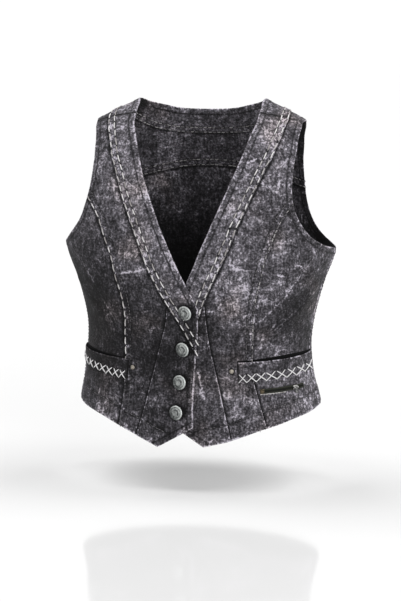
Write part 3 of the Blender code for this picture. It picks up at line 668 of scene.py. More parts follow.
def seam_relief(points, edges):
    """Height of the cloth, its wear and its painted shade beside the seams and edges of one piece."""
    shape = points.shape[:-1]
    relief = np.zeros(shape)
    wear = np.zeros(shape)
    shade = np.zeros(shape)
    free = np.zeros(shape, dtype=bool)
    for seed, (run, kind_name) in enumerate(edges):
        kind = dict(zip(SEAM_COLUMNS, SEAM_KINDS[kind_name]))
        distance, place = beside(points, run)
        layer = ease((kind["width"] - distance) / LAYER_STEP + 0.5)
        roll = np.clip(1 - distance / ROLL_WIDTH, 0, 1) ** 2
        drift = wavering(place, DRIFT_SIZE, seed)
        ripple = np.sin(2 * math.pi * place / kind["pitch"] + RIPPLE_DRIFT * drift)
        reach = np.exp(-(distance / max(kind["width"], PUCKER_REACH)) ** 2)
        relief += kind["height"] * layer - kind["roll"] * roll + kind["pucker"] * ripple * reach
        for row in SEAM_ROWS.get(kind_name, ()):
            pressed = np.exp(-((distance - row) / ROW_WIDTH) ** 2)
            relief -= ROW_DEPTH * pressed
            # Painted shade where the thread sinks into the cloth
            shade = np.maximum(shade, ROW_SHADE * pressed)
        rim = np.exp(-(distance / WEAR_WIDTH) ** 2)
        wear = np.maximum(wear, kind["wear"] * rim * (RIM_WEAR + RIM_DRIFT * drift))
        rope = ROPE_WEAR + ROPE_RIPPLE * ripple + ROPE_DRIFT * drift
        wear = np.maximum(wear, kind["rope"] * rope * reach * layer)
        crest = np.exp(-((distance - kind["width"]) / WEAR_WIDTH) ** 2)
        wear = np.maximum(wear, kind["ridge"] * crest * (RIDGE_WEAR + RIDGE_DRIFT * drift))
        # Painted shade in the gap beside the seam or edge
        shade = np.maximum(shade, kind["shade"] * np.exp(-(distance / SHADE_WIDTH) ** 2))
        if kind_name in FREE_KINDS:
            free |= distance < TOUCHING
    return relief, wear, shade, free


# Marks of wear on the outside: pale creases and scuffs, angles in degrees, negative on the right
MARK_REACH = 0.0045
WEAR_MARKS = table("start_angle start_drop end_angle end_drop strength", [
    (-35, 0.2312, -26, 0.2278, 1.00),
    (-26, 0.2278, -17, 0.2212, 1.00),
    (21, 0.2182, 27, 0.2195, 0.98),
    (27, 0.2195, 33, 0.2200, 0.90),
    (42, 0.2275, 46, 0.2295, 0.99),
    (51, 0.2310, 56, 0.2330, 0.89),
    (61, 0.2090, 49, 0.2610, 0.92),
    (49, 0.2610, 36, 0.2945, 0.88),
    (78, 0.2508, 63, 0.2742, 0.88),
    (63, 0.2742, 44, 0.3098, 0.84),
    (51, 0.2125, 57, 0.2220, 0.86),
    (70, 0.2150, 66, 0.2420, 0.84),
    (-56, 0.2238, -47, 0.2698, 1.00),
    (-47, 0.2698, -42, 0.2938, 1.00),
    (-24, 0.2720, -20, 0.2770, 0.94),
    (-25, 0.2835, -20, 0.2800, 0.90),
    (-39, 0.4060, -31, 0.4245, 0.88),
    (5, 0.3635, 8, 0.3998, 0.96),
    (26, 0.0795, 31, 0.0742, 1.09),
    (42, 0.1030, 40, 0.1185, 0.94),
    (15, 0.2770, 16, 0.2670, 0.92),
    (44, 0.3040, 47, 0.2960, 0.99),
    (28, 0.2860, 30, 0.2820, 1.04),
    (120, 0.2600, 148, 0.2700, 0.92),
    (-118, 0.2500, -140, 0.2660, 0.92),
    (165, 0.1600, 172, 0.1900, 0.88),
    (-150, 0.1900, -160, 0.2100, 0.88),
    (150, 0.3600, 170, 0.3660, 0.88),
    (-128, 0.3400, -150, 0.3560, 0.88),
    (6, 0.2795, 12, 0.2775, 1.05),
])
# Broad dark patches at the sides and below the bust: partly the wash's own, partly painted shade
# where the sides turn from the light, and a painted shadow on the left front under the right one
PATCH_SPAN = 1.0
SHADE_AND_WASH_PATCHES = table("angle drop reach amount", [
    (-66, 0.270, 0.075, -1.30),
    (-62, 0.375, 0.050, -0.44),
    (-20, 0.325, 0.050, -0.72),
    (-24, 0.400, 0.045, -0.44),
    (60, 0.290, 0.050, -0.72),
    (75, 0.235, 0.045, -0.30),
    (55, 0.420, 0.030, -0.04),
    (-7, 0.410, 0.035, -0.28),
    (7, 0.298, 0.020, -0.60),
    (8, 0.345, 0.026, -0.36),
    (12, 0.330, 0.040, -0.10),
    (26, 0.320, 0.040, -0.10),
    (180, 0.330, 0.090, -0.22),
    (120, 0.300, 0.060, -0.25),
    (-120, 0.300, 0.060, -0.25),
])
# Darker inside: a little by the cloth's own inner face, the rest painted shade, deeper down the back
# and at the sides than on the fronts
INSIDE_SHADE_DEPTHS = table("drop depth", [
    (0.030, 0.30),
    (0.080, 0.75),
    (0.160, 1.55),
    (0.260, 7.40),
    (0.420, 8.00),
])
SIDE_SHADE_DEPTH = 7.2
FRONT_SHADE_DEPTH = 2.4
BACK_TURN = math.radians(145.0)
FRONT_TURN = math.radians(75.0)
INSIDE_SHADE_TURN = math.radians(32.0)
# Small unevenness of the cloth, as size and depth
CRUMPLES = ((0.034, 0.00045), (0.015, 0.00022))
# Painted contact shadow: the cloth is darkened round the rims of the buttons and rivets
CONTACT_SHADOW_STRENGTH = 1.3
CONTACT_SHADOW_SPAN = 0.1
CONTACT_SHADOW_EDGE = 1.15
CONTACT_SHADOW_CRISPNESS = 2.0
CONTACT_SHADOWS = table("angle drop reach", [
    (0.0, 0.278, 0.0120),
    (-1.8, 0.331, 0.0120),
    (-3.2, 0.378, 0.0120),
    (-4.5, 0.4195, 0.0120),
    (-30.0, 0.3625, 0.0045),
    (22.2, 0.362, 0.0045),
])
THINNEST_HALF = 0.0002
FREE_BULGE = 0.6
SEWN_BULGE = SEAM_GAP / 3
INSIDE_WEAR = 0.5
RIM_INSIDE_SHADE = 0.3


def crumple(points):
    """Small unevenness of washed cloth, the same on every piece at the same place."""
    height = np.zeros(points.shape[:-1])
    for size, depth in CRUMPLES:
        flat = [noise.noise(Vector(point / size)) for point in points.reshape(-1, 3)]
        height += depth * np.array(flat).reshape(height.shape)
    return height


def faced(points, out):
    """True if a grid's faces, made row by row, turn their fronts outwards."""
    across = points[1:, 1:] - points[1:, :-1]
    up = points[1:, 1:] - points[:-1, 1:]
    return (np.cross(across, up) * out[1:, 1:]).sum() > 0


def perimeter(rows, columns):
    """Indices of a grid's edge, once round."""
    index = np.arange(rows * columns).reshape(rows, columns)
    return np.concatenate([index[0, :-1], index[:-1, -1], index[-1, :0:-1], index[:0:-1, 0]])


def edge_directions(points):
    """Directions that leave a grid at its edges, in the cloth."""
    away = np.zeros_like(points)
    for axis in (0, 1):
        grid = np.moveaxis(points, axis, 0)
        leave = np.moveaxis(away, axis, 0)
        first = grid[0] - grid[1]
        final = grid[-1] - grid[-2]
        leave[0] += first / np.linalg.norm(first, axis=-1, keepdims=True)
        leave[-1] += final / np.linalg.norm(final, axis=-1, keepdims=True)
    return away


def store(mesh, name, kind, values):
    """One value or direction for each point of a mesh."""
    layer = mesh.attributes.new(name, kind, "POINT")
    key = "vector" if kind == "FLOAT_VECTOR" else "value"
    layer.data.foreach_set(key, np.ascontiguousarray(values, dtype=np.float32).ravel())


def placed(name, data):
    """A new object in the scene."""
    item = bpy.data.objects.new(name, data)
    bpy.context.scene.collection.objects.link(item)
    return item


def new_piece(name, points, faces, material):
    """A plain mesh object in the row frame, smoothly shaded."""
    mesh = bpy.data.meshes.new(name)
    mesh.from_pydata(points, [], faces)
    mesh.polygons.foreach_set("use_smooth", [True] * len(mesh.polygons))
    mesh.materials.append(material)
    return placed(name, mesh)


def stand_for(item, node_name, body="vest"):
    """Let a piece ride on a body in the place of one of its solids."""
    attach(item, body)
    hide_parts(node_name)


def cloth_piece(name, angle, drop, side_name, lift, thickness, edges, material, grain):
    """A closed wall of cloth on a grid of places, with its seams, puckers, rolled edges, wear and painted
    shade.
    """
    rows, columns = angle.shape
    body = torso(angle, drop)
    relief, wear, shade, free = seam_relief(body, edges)
    middle, out = cloth_points(angle, drop, side_name, lift + crumple(body))
    half = (thickness / 2 + np.maximum(relief, THINNEST_HALF - thickness / 2))[..., None]
    outside = middle + out * half
    inside = middle - out * half
    ring = perimeter(rows, columns)
    bulge = np.where(free, FREE_BULGE * thickness, SEWN_BULGE)[..., None]
    rim = (middle + edge_directions(middle) * bulge).reshape(-1, 3)[ring]
    crease = np.zeros(angle.shape)
    for *line, strength in zip(*WEAR_MARKS.values()):
        near = 1 - line_places(angle, drop, *line) / MARK_REACH
        crease = np.maximum(crease, strength * near)

    # Broad dark patches, partly the wash's own and partly painted shade
    fade = np.zeros(angle.shape)
    for at_angle, at_drop, reach, amount in zip(*SHADE_AND_WASH_PATCHES.values()):
        away = line_places(angle, drop, at_angle, at_drop, at_angle + PATCH_SPAN, at_drop)
        fade += amount * np.exp(-(away / reach) ** 2)
    # Painted contact shadow round each button and rivet
    for at_angle, at_drop, reach in zip(*CONTACT_SHADOWS.values()):
        away = line_places(angle, drop, at_angle, at_drop, at_angle + CONTACT_SHADOW_SPAN, at_drop)
        shade = np.maximum(shade, CONTACT_SHADOW_STRENGTH * ease(CONTACT_SHADOW_CRISPNESS * (CONTACT_SHADOW_EDGE - away / reach)))
    # Painted shade inside the vest, deeper down the back and at the sides
    turn = abs(angle)
    side_shade = SIDE_SHADE_DEPTH * ease((BACK_TURN - turn) / INSIDE_SHADE_TURN)
    back_depth = np.maximum(np.interp(drop, *INSIDE_SHADE_DEPTHS.values()), side_shade)
    depth = FRONT_SHADE_DEPTH + (back_depth - FRONT_SHADE_DEPTH) * ease((turn - FRONT_TURN) / INSIDE_SHADE_TURN)

    count = rows * columns
    index = np.arange(count).reshape(rows, columns)
    quads = np.stack([index[:-1, :-1], index[:-1, 1:], index[1:, 1:], index[1:, :-1]], axis=-1)
    quads = quads.reshape(-1, 4)
    rim_index = 2 * count + np.arange(len(ring))
    ring_next = np.roll(ring, -1)
    rim_next = np.roll(rim_index, -1)
    outer_rim = np.stack([ring_next, ring, rim_index, rim_next], axis=-1)
    inner_rim = np.stack([rim_next, rim_index, count + ring, count + ring_next], axis=-1)
    faces = np.concatenate([quads, count + quads[:, ::-1], outer_rim, inner_rim])
    if not faced(middle, out):
        faces = faces[:, ::-1]
    points = np.concatenate([outside.reshape(-1, 3), inside.reshape(-1, 3), rim])
    item = new_piece(name, points.tolist(), faces.tolist(), material)

    def both(values, on_inside=1.0):
        flat = values.reshape(count, -1)
        return np.concatenate([flat, flat * on_inside, flat[ring]])

    inside_shades = np.concatenate([np.zeros(count), depth.ravel(), np.full(len(ring), RIM_INSIDE_SHADE)])
    store(item.data, "wear", "FLOAT", both(wear, INSIDE_WEAR))
    store(item.data, "shade", "FLOAT", both(shade))
    store(item.data, "crease", "FLOAT", both(crease, 0.0))
    store(item.data, "fade", "FLOAT", both(fade, 0.0))
    store(item.data, "inside", "FLOAT", inside_shades)
    store(item.data, "grain", "FLOAT_VECTOR", both(grain))
    return item, middle


def cloth_area(points):
    """Area of a grid of points."""
    across = np.diff(points, axis=1)[:-1]
    up = np.diff(points, axis=0)[:, :-1]
    return np.linalg.norm(np.cross(across, up), axis=-1).sum()


class Wire:
    """An output in a node tree; sums of wires and numbers add Math nodes to the tree."""

    def __init__(self, tree, socket):
        self.tree = tree
        self.socket = socket

    def math(self, operation, *values):
        node = self.tree.nodes.new("ShaderNodeMath")
        node.operation = operation
        for slot, value in zip(node.inputs, values):
            connect(self.tree, slot, value)
        return Wire(self.tree, node.outputs[0])

    def __add__(self, other):
        return self.math("ADD", self, other)

    def __sub__(self, other):
        return self.math("SUBTRACT", self, other)

    def __rsub__(self, other):
        return self.math("SUBTRACT", other, self)

    def __mul__(self, other):
        return self.math("MULTIPLY", self, other)

    __radd__ = __add__
    __rmul__ = __mul__


def connect(tree, slot, value):
    """Give an input a wire, a list of wires or a plain value."""
    if isinstance(value, Wire):
        tree.links.new(value.socket, slot)
    elif isinstance(value, list):
        for wire in value:
            connect(tree, slot, wire)
    else:
        slot.default_value = value


class Bench:
    """Adds nodes to a tree by their type, their settings and what their inputs get."""

    def __init__(self, tree):
        self.tree = tree

    def node(self, kind, settings=None, inputs=None, output=0):
        node = self.tree.nodes.new(kind)
        for name, value in (settings or {}).items():
            setattr(node, name, value)
        for name, value in (inputs or {}).items():
            connect(self.tree, node.inputs[name], value)
        return Wire(self.tree, node.outputs[output]) if node.outputs else node

    def place(self):
        return self.node("ShaderNodeTexCoord", output="Object")

    def attribute(self, name, output="Fac"):
        return self.node("ShaderNodeAttribute", {"attribute_name": name}, output=output)

    def stretched(self, vector, factors):
        return self.node("ShaderNodeVectorMath", {"operation": "MULTIPLY"}, {0: vector, 1: factors})

    def cloud(self, vector, size, detail=3.0, roughness=0.6, distortion=0.0):
        """Noise of a feature size in metres, from about -0.5 to 0.5."""
        fog = self.node("ShaderNodeTexNoise", inputs={
            "Vector": vector, "Scale": 1 / size, "Detail": detail,
            "Roughness": roughness, "Distortion": distortion})
        return fog - 0.5

    def between(self, value, low, high):
        """Smooth step of a value from 0 at low to 1 at high."""
        return self.node("ShaderNodeMapRange", {"interpolation_type": "SMOOTHSTEP"}, {
            "Value": value, "From Min": low, "From Max": high})

    def mixed(self, share, first, second):
        return self.node("ShaderNodeMix", {"data_type": "RGBA"}, {0: share, 6: first, 7: second}, 2)

    def lit(self, colour, amount):
        """A colour at a varying brightness."""
        return self.node("ShaderNodeVectorMath", {"operation": "SCALE"}, {0: colour, "Scale": amount})

    def bumped(self, height, strength, distance):
        return self.node("ShaderNodeBump", inputs={
            "Strength": strength, "Distance": distance, "Height": height})


def new_finish(name):
    """A material and its bench."""
    material = bpy.data.materials.new(name)
    material.use_nodes = True
    return material, Bench(material.node_tree)


def feed(material, **inputs):
    """Give a material's shader its wires and plain values."""
    shader = material.node_tree.nodes["Principled BSDF"]
    for name, value in inputs.items():
        connect(material.node_tree, shader.inputs[name.replace("_", " ")], value)


# The wash: sizes of its flecks and cracks, and how much each lightens the cloth
FLECK_SIZES = {"patches": 0.045, "mottle": 0.0095, "grit": 0.0026, "upright": 0.0030, "level": 0.0040}
FLECK_SHARES = {"patches": 1.3, "mottle": 2.15, "grit": 2.1, "upright": 1.35, "level": 0.6}
UPRIGHT_STRETCH = (1, 1, 0.20)
LEVEL_STRETCH = (0.3, 0.3, 1.4)
CRACKS_PER_METRE = 40.0
CRACK_WANDERS_PER_METRE = 45.0
CRACK_WANDER = 0.030
STREAK_SHARE = 0.16
CRACK_SHARE = 0.42
RUBBED_SHARE = 0.80
SHADE_SHARE = 0.75
INSIDE_SHADE_SHARE = 0.24
CONTRAST = 2.2
PALEST = 0.62
# Where each kind of wear begins and is full, and how much the flecks break it up
CRACK_EDGE = (0.045, 0.0)
CRACKED_PATCHES = (-0.02, 0.14)
CRACK_MOTTLE = 0.7
UPRIGHT_STREAKS = (0.08, 0.24)
UPRIGHT_STRENGTH = 0.9
LEVEL_STREAKS = (0.10, 0.26)
LEVEL_STRENGTH = 0.7
SCUFFS = (0.50, 0.98)
SCUFF_MOTTLE = 0.5
SCUFF_GRIT = 0.3
RUBBING = (0.30, 1.00)
RUBBING_MOTTLE = 1.3
RUBBING_GRIT = 0.9
# The weave's slanted ribs, and the feel of the cloth
TWILL_PITCH = 0.0011
TWILL_SLANT = 0.7
TWILL_WANDER = 2.0
TWILL_SHARE = 0.04
TWILL_RELIEF = 0.35
GRIT_RELIEF = 1.2
MOTTLE_RELIEF = 0.8
DENIM_BUMP = 0.00045
DENIM_ROUGHNESS = 0.93
WORN_SMOOTHNESS = 0.06
TINT_SIZE = 0.085
TINT_TURN = (0.0, 0.2)
COOL_BLACK = (1.02, 0.960, 1.090, 1)
BROWN_BLACK = (1.09, 0.965, 1.020, 1)


def denim(name, tone):
    """Washed black twill: speckled grey, pale scuffs and edges, and painted shade at seams and inside."""
    material, bench = new_finish(name)
    place = bench.place()
    size = FLECK_SIZES
    patches = bench.cloud(place, size["patches"], detail=2.0)
    mottle = bench.cloud(place, size["mottle"], detail=4.0, roughness=0.64, distortion=0.6)
    grit = bench.cloud(place, size["grit"], detail=1.0)
    upright = bench.cloud(bench.stretched(place, UPRIGHT_STRETCH), size["upright"])
    level = bench.cloud(bench.stretched(place, LEVEL_STRETCH), size["level"])
    wander = bench.node("ShaderNodeTexNoise", inputs={
        "Vector": place, "Scale": CRACK_WANDERS_PER_METRE}, output="Color")
    wandered = bench.node("ShaderNodeVectorMath", {"operation": "MULTIPLY_ADD"}, {
        0: wander, 1: (CRACK_WANDER, CRACK_WANDER, CRACK_WANDER), 2: place})
    crackle = bench.node("ShaderNodeTexVoronoi", {"feature": "DISTANCE_TO_EDGE"}, {
        "Vector": wandered, "Scale": CRACKS_PER_METRE})
    cracked = bench.between(patches + mottle * CRACK_MOTTLE, *CRACKED_PATCHES)
    cracks = bench.between(crackle, *CRACK_EDGE) * cracked
    streaks = bench.between(upright, *UPRIGHT_STREAKS) * UPRIGHT_STRENGTH
    streaks = streaks + bench.between(level, *LEVEL_STREAKS) * LEVEL_STRENGTH
    crease = bench.attribute("crease") + mottle * SCUFF_MOTTLE + grit * SCUFF_GRIT
    scuffs = bench.between(crease, *SCUFFS)
    wear = bench.attribute("wear") + mottle * RUBBING_MOTTLE + grit * RUBBING_GRIT
    rubbed = bench.between(wear, *RUBBING)

    grain = bench.attribute("grain", "Vector")
    across = bench.node("ShaderNodeSeparateXYZ", inputs={0: grain}, output="X")
    down = bench.node("ShaderNodeSeparateXYZ", inputs={0: grain}, output="Y")
    phase = (across + down * TWILL_SLANT) * (2 * math.pi / TWILL_PITCH) + mottle * TWILL_WANDER
    twill = phase.math("SINE", phase)
    # The wash's flecks and its broad patches, which are partly painted shade
    wash = bench.attribute("fade")
    for fleck, cloud in zip(FLECK_SHARES, (patches, mottle, grit, upright, level)):
        wash = wash + cloud * FLECK_SHARES[fleck]
    worn = streaks * STREAK_SHARE + cracks * CRACK_SHARE + scuffs * RUBBED_SHARE + rubbed * RUBBED_SHARE
    # Painted shade: the seams' gaps and rows, round the buttons and rivets, and inside the vest
    painted_shade = bench.attribute("shade") * SHADE_SHARE + bench.attribute("inside") * INSIDE_SHADE_SHARE
    stops = wash + twill * TWILL_SHARE + worn - painted_shade
    lightness = stops.math("EXPONENT", stops * CONTRAST) * tone ** CONTRAST
    lightness = lightness.math("MINIMUM", lightness, PALEST)
    tint_share = bench.between(bench.cloud(place, TINT_SIZE, detail=2.0), *TINT_TURN)
    tint = bench.mixed(tint_share, COOL_BLACK, BROWN_BLACK)
    relief = twill * TWILL_RELIEF + grit * GRIT_RELIEF + mottle * MOTTLE_RELIEF
    feed(material, Base_Color=bench.lit(tint, lightness), Specular_IOR_Level=0.2, Sheen_Weight=0.05,
         Roughness=DENIM_ROUGHNESS - worn * WORN_SMOOTHNESS,
         Normal=bench.bumped(relief, strength=0.55, distance=DENIM_BUMP))
    return material


BODY_DENIM = denim("washed_denim", tone=0.362)
VEST_PIECES = {}


def grain_of(angle, drop):
    """Places in the cloth's own grain, in metres."""
    return np.stack([angle * FOLD_RADIUS, drop, 0 * drop], axis=-1)


def sewn(name, bounds, edges, thickness, side_name, material=BODY_DENIM):
    """A cut piece between four runs of seam, which stands for the solid of its name."""
    angle, drop = nearest_on_torso(filled(*bounds))
    item, middle = cloth_piece(f"sewn_{name}", angle, drop, side_name, 0.0, thickness, edges,
                               material, grain_of(angle, drop))
    stand_for(item, name)
    cloth_area(middle)
    VEST_PIECES[name] = item


FRONT_SEAM_KINDS = {"right": "lapped_under", "left": "plain"}
LOW_SEAM_SHARE = 0.2
for side_name in SIDES:
    edge = EDGES[side_name]
    welt_place = round(LOW_SEAM_SHARE * len(edge["front_seam"]))
    low_seam = edge["front_seam"][:welt_place + 1]
    high_seam = edge["front_seam"][welt_place:]
    sewn(f"front_edge_{side_name}",
         (joined(edge["hem_rise"], edge["hem_point"]), edge["band_low"],
          edge["front_edge"], edge["dart"]),
         [(edge["front_edge"], "creased"), (edge["hem_rise"], "turned"), (edge["hem_point"], "hem"),
          (edge["dart"], "pressed"), (edge["band_low"], "lapped_under")],
         DOUBLED_CLOTH, side_name)
    sewn(f"front_{side_name}",
         (edge["hem_front"], edge["shoulder"],
          joined(edge["dart"], edge["band_high"]),
          joined(edge["front_seam"], edge["armhole_front"])),
         [(edge["dart"], "lapped_under"), (edge["band_high"], "lapped_under"),
          (low_seam, "pressed"), (high_seam, "lapped_over"), (edge["armhole_front"], "turned"),
          (edge["shoulder"], "shoulder"), (edge["hem_front"], "hem")],
         CLOTH, side_name)
    sewn(f"side_front_{side_name}",
         (edge["hem_side"], edge["armhole_side"], edge["front_seam"], edge["side"]),
         [(low_seam, "lapped_under"), (high_seam, FRONT_SEAM_KINDS[side_name]), (edge["side"], "side"),
          (edge["armhole_side"], "turned"), (edge["hem_side"], "hem")],
         CLOTH, side_name)

right = EDGES["right"]
left = EDGES["left"]


def over_back(name):
    """A run of both sides, from the right over the middle of the back to the left."""
    return joined(right[name], left[name][::-1])


yoke_seam = over_back("yoke")
sewn("yoke",
     (joined(right["armhole_yoke"], yoke_seam, left["armhole_yoke"][::-1]),
      over_back("band_back"),
      right["shoulder"][::-1], left["shoulder"][::-1]),
     [(yoke_seam, "lapped_over"), (right["armhole_yoke"], "turned"), (left["armhole_yoke"], "turned"),
      (right["shoulder"], "shoulder"), (left["shoulder"], "shoulder"),
      (over_back("band_back"), "lapped_under")],
     CLOTH, None)
sewn("back",
     (over_back("back_hem"), yoke_seam,
      joined(right["side"], right["armhole_back"]), joined(left["side"], left["armhole_back"])),
     [(over_back("back_hem"), "hem"), (yoke_seam, "lapped_under"),
      (right["side"], "lapped_under"), (left["side"], "lapped_under"),
      (right["armhole_back"], "turned"), (left["armhole_back"], "turned")],
     CLOTH, None)

# Neck band: a doubled strip of denim round the neck and down the fronts to the closure.
# It is felled over the fronts and the yoke with twin rows of sewing, and faded a little more.
BAND_DENIM = denim("band_denim", tone=0.395)
for side_name in SIDES:
    edge = EDGES[side_name]
    sewn(f"band_{side_name}",
         (edge["band_end"], edge["shoulder_band"],
          edge["neck_front"], joined(edge["band_low"], edge["band_high"])),
         [(edge["neck_front"], "turned"), (edge["band_end"], "turned"),
          (joined(edge["band_low"], edge["band_high"]), "lapped_over"),
          (edge["shoulder_band"], "shoulder")],
         DOUBLED_CLOTH, side_name, material=BAND_DENIM)
sewn("band_back",
     (over_back("band_back"), over_back("neck_back"),
      right["shoulder_band"][::-1], left["shoulder_band"][::-1]),
     [(over_back("neck_back"), "turned"), (over_back("band_back"), "lapped_over"),
      (right["shoulder_band"], "shoulder"), (left["shoulder_band"], "shoulder")],
     DOUBLED_CLOTH, None, material=BAND_DENIM)

# Pocket welts: a folded strip of the same denim across each front, open along its top edge.
# The lower edge and the ends are sewn down, and a near-black sheet in the open mouth is painted shadow.
WELT_OUTER_ANGLE = 85
WELT_LENGTH = 0.105
WELT_HEIGHT = 0.027
WELT_CLEARANCE = 0.0002
WELT_GAPE = 0.0026
GAPE_FULLNESS = 0.5
MOUTH_RISES = (-0.10, 0.0, 0.5, 1.0)
MOUTH_END = 0.99
MOUTH_STEPS = 60
MOUTH_HEIGHT = 0.0054
MOUTH_LIFT = 0.0004
MOUTH_CLOTH = 0.0005
WELTS = table("inner_breadth inner_top inner_bottom outer_top outer_bottom", [
    (0.083, 0.352, 0.379, 0.347, 0.369),
    (0.066, 0.350, 0.376, 0.3445, 0.366),
])
MOUTH_OPENING = table("share right left", [
    (0.0, 0.28, 0.36),
    (0.2, 0.40, 0.66),
    (0.4, 0.60, 0.92),
    (0.6, 0.76, 1.00),
    (0.8, 0.74, 0.74),
    (1.0, 0.30, 0.36),
])
WELT_DENIM = denim("welt_denim", tone=0.29)


def welt_places(side_name, u, v):
    """Angle and drop at shares along a welt and up it."""
    sizes = {name: values[list(SIDES).index(side_name)] for name, values in WELTS.items()}
    top = sizes["inner_top"] * (1 - u) + sizes["outer_top"] * u
    bottom = sizes["inner_bottom"] * (1 - u) + sizes["outer_bottom"] * u
    drop = bottom * (1 - v) + top * v
    inner_angle = angle_of(sizes["inner_breadth"], sizes["inner_top"])
    angle = inner_angle * (1 - u) + math.radians(WELT_OUTER_ANGLE) * u + 0 * v
    return SIDES[side_name] * angle, drop + 0 * u


FUZZ_SIZE = 0.0012
POCKET_SHADOW_TINT = (1.0, 1.0, 1.05)
POCKET_SHADOW_TONE = 0.006


def pocket_shadow_sheet():
    """A near-black sheet with a faint weave, painted shadow in the pocket's open mouth."""
    material, bench = new_finish("pocket_shadow")
    fuzz = bench.cloud(bench.place(), FUZZ_SIZE, detail=2.0)
    tone = fuzz * POCKET_SHADOW_TONE + POCKET_SHADOW_TONE
    feed(material, Base_Color=bench.lit(POCKET_SHADOW_TINT, tone), Roughness=0.95, Specular_IOR_Level=0.1)
    return material


POCKET_SHADOW = pocket_shadow_sheet()
for side_name in SIDES:
    across = shares_across(WELT_LENGTH)[None]
    up = shares_across(WELT_HEIGHT)[:, None]
    angle, drop = welt_places(side_name, across, up)
    body = torso(angle, drop)
    gape = WELT_GAPE * up ** 2 * np.sin(math.pi * across) ** GAPE_FULLNESS
    lift = CLOTH + SEAM_GAP + WELT_CLEARANCE + gape
    # The welt's inner end carries a painted shadow line along it
    item, middle = cloth_piece(
        f"sewn_welt_{side_name}", angle, drop, side_name, lift, CLOTH,
        [(body[0], "plain"), (body[-1], "folded"), (body[:, 0], "tucked"), (body[:, -1], "folded")],
        WELT_DENIM, grain_of(angle, drop))
    flat_area = cloth_area(middle)
    stand_for(item, f"welt_{side_name}")
    VEST_PIECES[f"welt_{side_name}"] = item

    # The mouth: a near-black sheet over the welt's top edge, painted shadow in the opening
    rise = np.array(MOUTH_RISES)[:, None] * MOUTH_HEIGHT
    mouth_across = np.linspace(0.0, MOUTH_END, MOUTH_STEPS)[None]
    angle, drop = welt_places(side_name, mouth_across, np.ones((1, 1)))
    opening = smooth_column(MOUTH_OPENING["share"], MOUTH_OPENING[side_name], mouth_across)
    angle = angle + 0 * rise
    drop = drop - rise * opening
    lift = (CLOTH + MOUTH_CLOTH) / 2 + MOUTH_LIFT + 0 * drop
    mouth, _ = cloth_piece(
        f"pocket_mouth_shadow_{side_name}", angle, drop, side_name, lift, MOUTH_CLOTH, [],
        POCKET_SHADOW, grain_of(angle, drop))
    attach(mouth, "vest")

# Topstitching: rows of thick thread along the seams, pale where it shows and dark elsewhere.
# Each stitch stands on the cloth and dips in at its ends; rows run beside the seams they hold.
SWAY = 0.22
SHORTEST = -0.35
LONGEST = 0.2


def row_group(name, sizes, shape, spaced=False):
    """Nodes that repeat a small shape along runs of edges, turned along the run and outwards.

    A spaced row has one shape at each point, as long as the point's spread; others are even.
    """
    group = bpy.data.node_groups.new(name, "GeometryNodeTree")
    group.interface.new_socket("Geometry", in_out="INPUT", socket_type="NodeSocketGeometry")
    pitch = () if spaced else ("Pitch",)
    for size in (*pitch, "Unevenness", *sizes):
        group.interface.new_socket(size, in_out="INPUT", socket_type="NodeSocketFloat")
    group.interface.new_socket("Seed", in_out="INPUT", socket_type="NodeSocketInt")
    group.interface.new_socket("Finish", in_out="INPUT", socket_type="NodeSocketMaterial")
    group.interface.new_socket("Geometry", in_out="OUTPUT", socket_type="NodeSocketGeometry")
    bench = Bench(group)

    def given(size):
        return bench.node("NodeGroupInput", output=size)

    def chance(low, high, salt):
        return bench.node("FunctionNodeRandomValue", {"data_type": "FLOAT"}, {
            2: low, 3: high, "Seed": given("Seed") + salt}, 1)

    runs = bench.node("GeometryNodeMeshToCurve", inputs={"Mesh": given("Geometry")})
    places = runs
    if not spaced:
        places = bench.node("GeometryNodeResampleCurve", {"mode": "LENGTH"}, {
            "Curve": runs, "Length": given("Pitch")})
    ahead = bench.node("GeometryNodeInputTangent")
    outward = bench.node("GeometryNodeInputNamedAttribute", {"data_type": "FLOAT_VECTOR"}, {
        "Name": "outward"})
    turned = bench.node("FunctionNodeAlignRotationToVector", {"axis": "X"}, {"Vector": ahead})
    turned = bench.node("FunctionNodeAlignRotationToVector", {"axis": "Z", "pivot_axis": "X"}, {
        "Rotation": turned, "Vector": outward})
    sway = bench.node("ShaderNodeCombineXYZ", inputs={"Z": chance(-SWAY, SWAY, 1) * given("Unevenness")})
    turned = bench.node("FunctionNodeRotateRotation", {"rotation_space": "LOCAL"}, {
        "Rotation": turned, "Rotate By": sway})
    length = 1 + chance(SHORTEST, LONGEST, 2) * given("Unevenness")
    if spaced:
        length = length * bench.node("GeometryNodeInputNamedAttribute", {"data_type": "FLOAT"}, {
            "Name": "spread"})
    scale = bench.node("ShaderNodeCombineXYZ", inputs={"X": length, "Y": 1.0, "Z": 1.0})
    sewn_row = bench.node("GeometryNodeInstanceOnPoints", inputs={
        "Points": places, "Instance": shape(bench, given), "Rotation": turned, "Scale": scale})
    sewn_row = bench.node("GeometryNodeStoreNamedAttribute", {"data_type": "FLOAT", "domain": "INSTANCE"}, {
        "Geometry": sewn_row, "Name": "thread_age", "Value": chance(0.0, 1.0, 3)})
    sewn_row = bench.node("GeometryNodeRealizeInstances", inputs={"Geometry": sewn_row})
    sewn_row = bench.node("GeometryNodeSetShadeSmooth", inputs={"Geometry": sewn_row})
    sewn_row = bench.node("GeometryNodeSetMaterial", inputs={
        "Geometry": sewn_row, "Material": given("Finish")})
    bench.node("NodeGroupOutput", inputs={"Geometry": sewn_row})
    return group


THREAD_SIDES = 6
STITCH_STEPS = 6
STITCH_DIP = -0.45


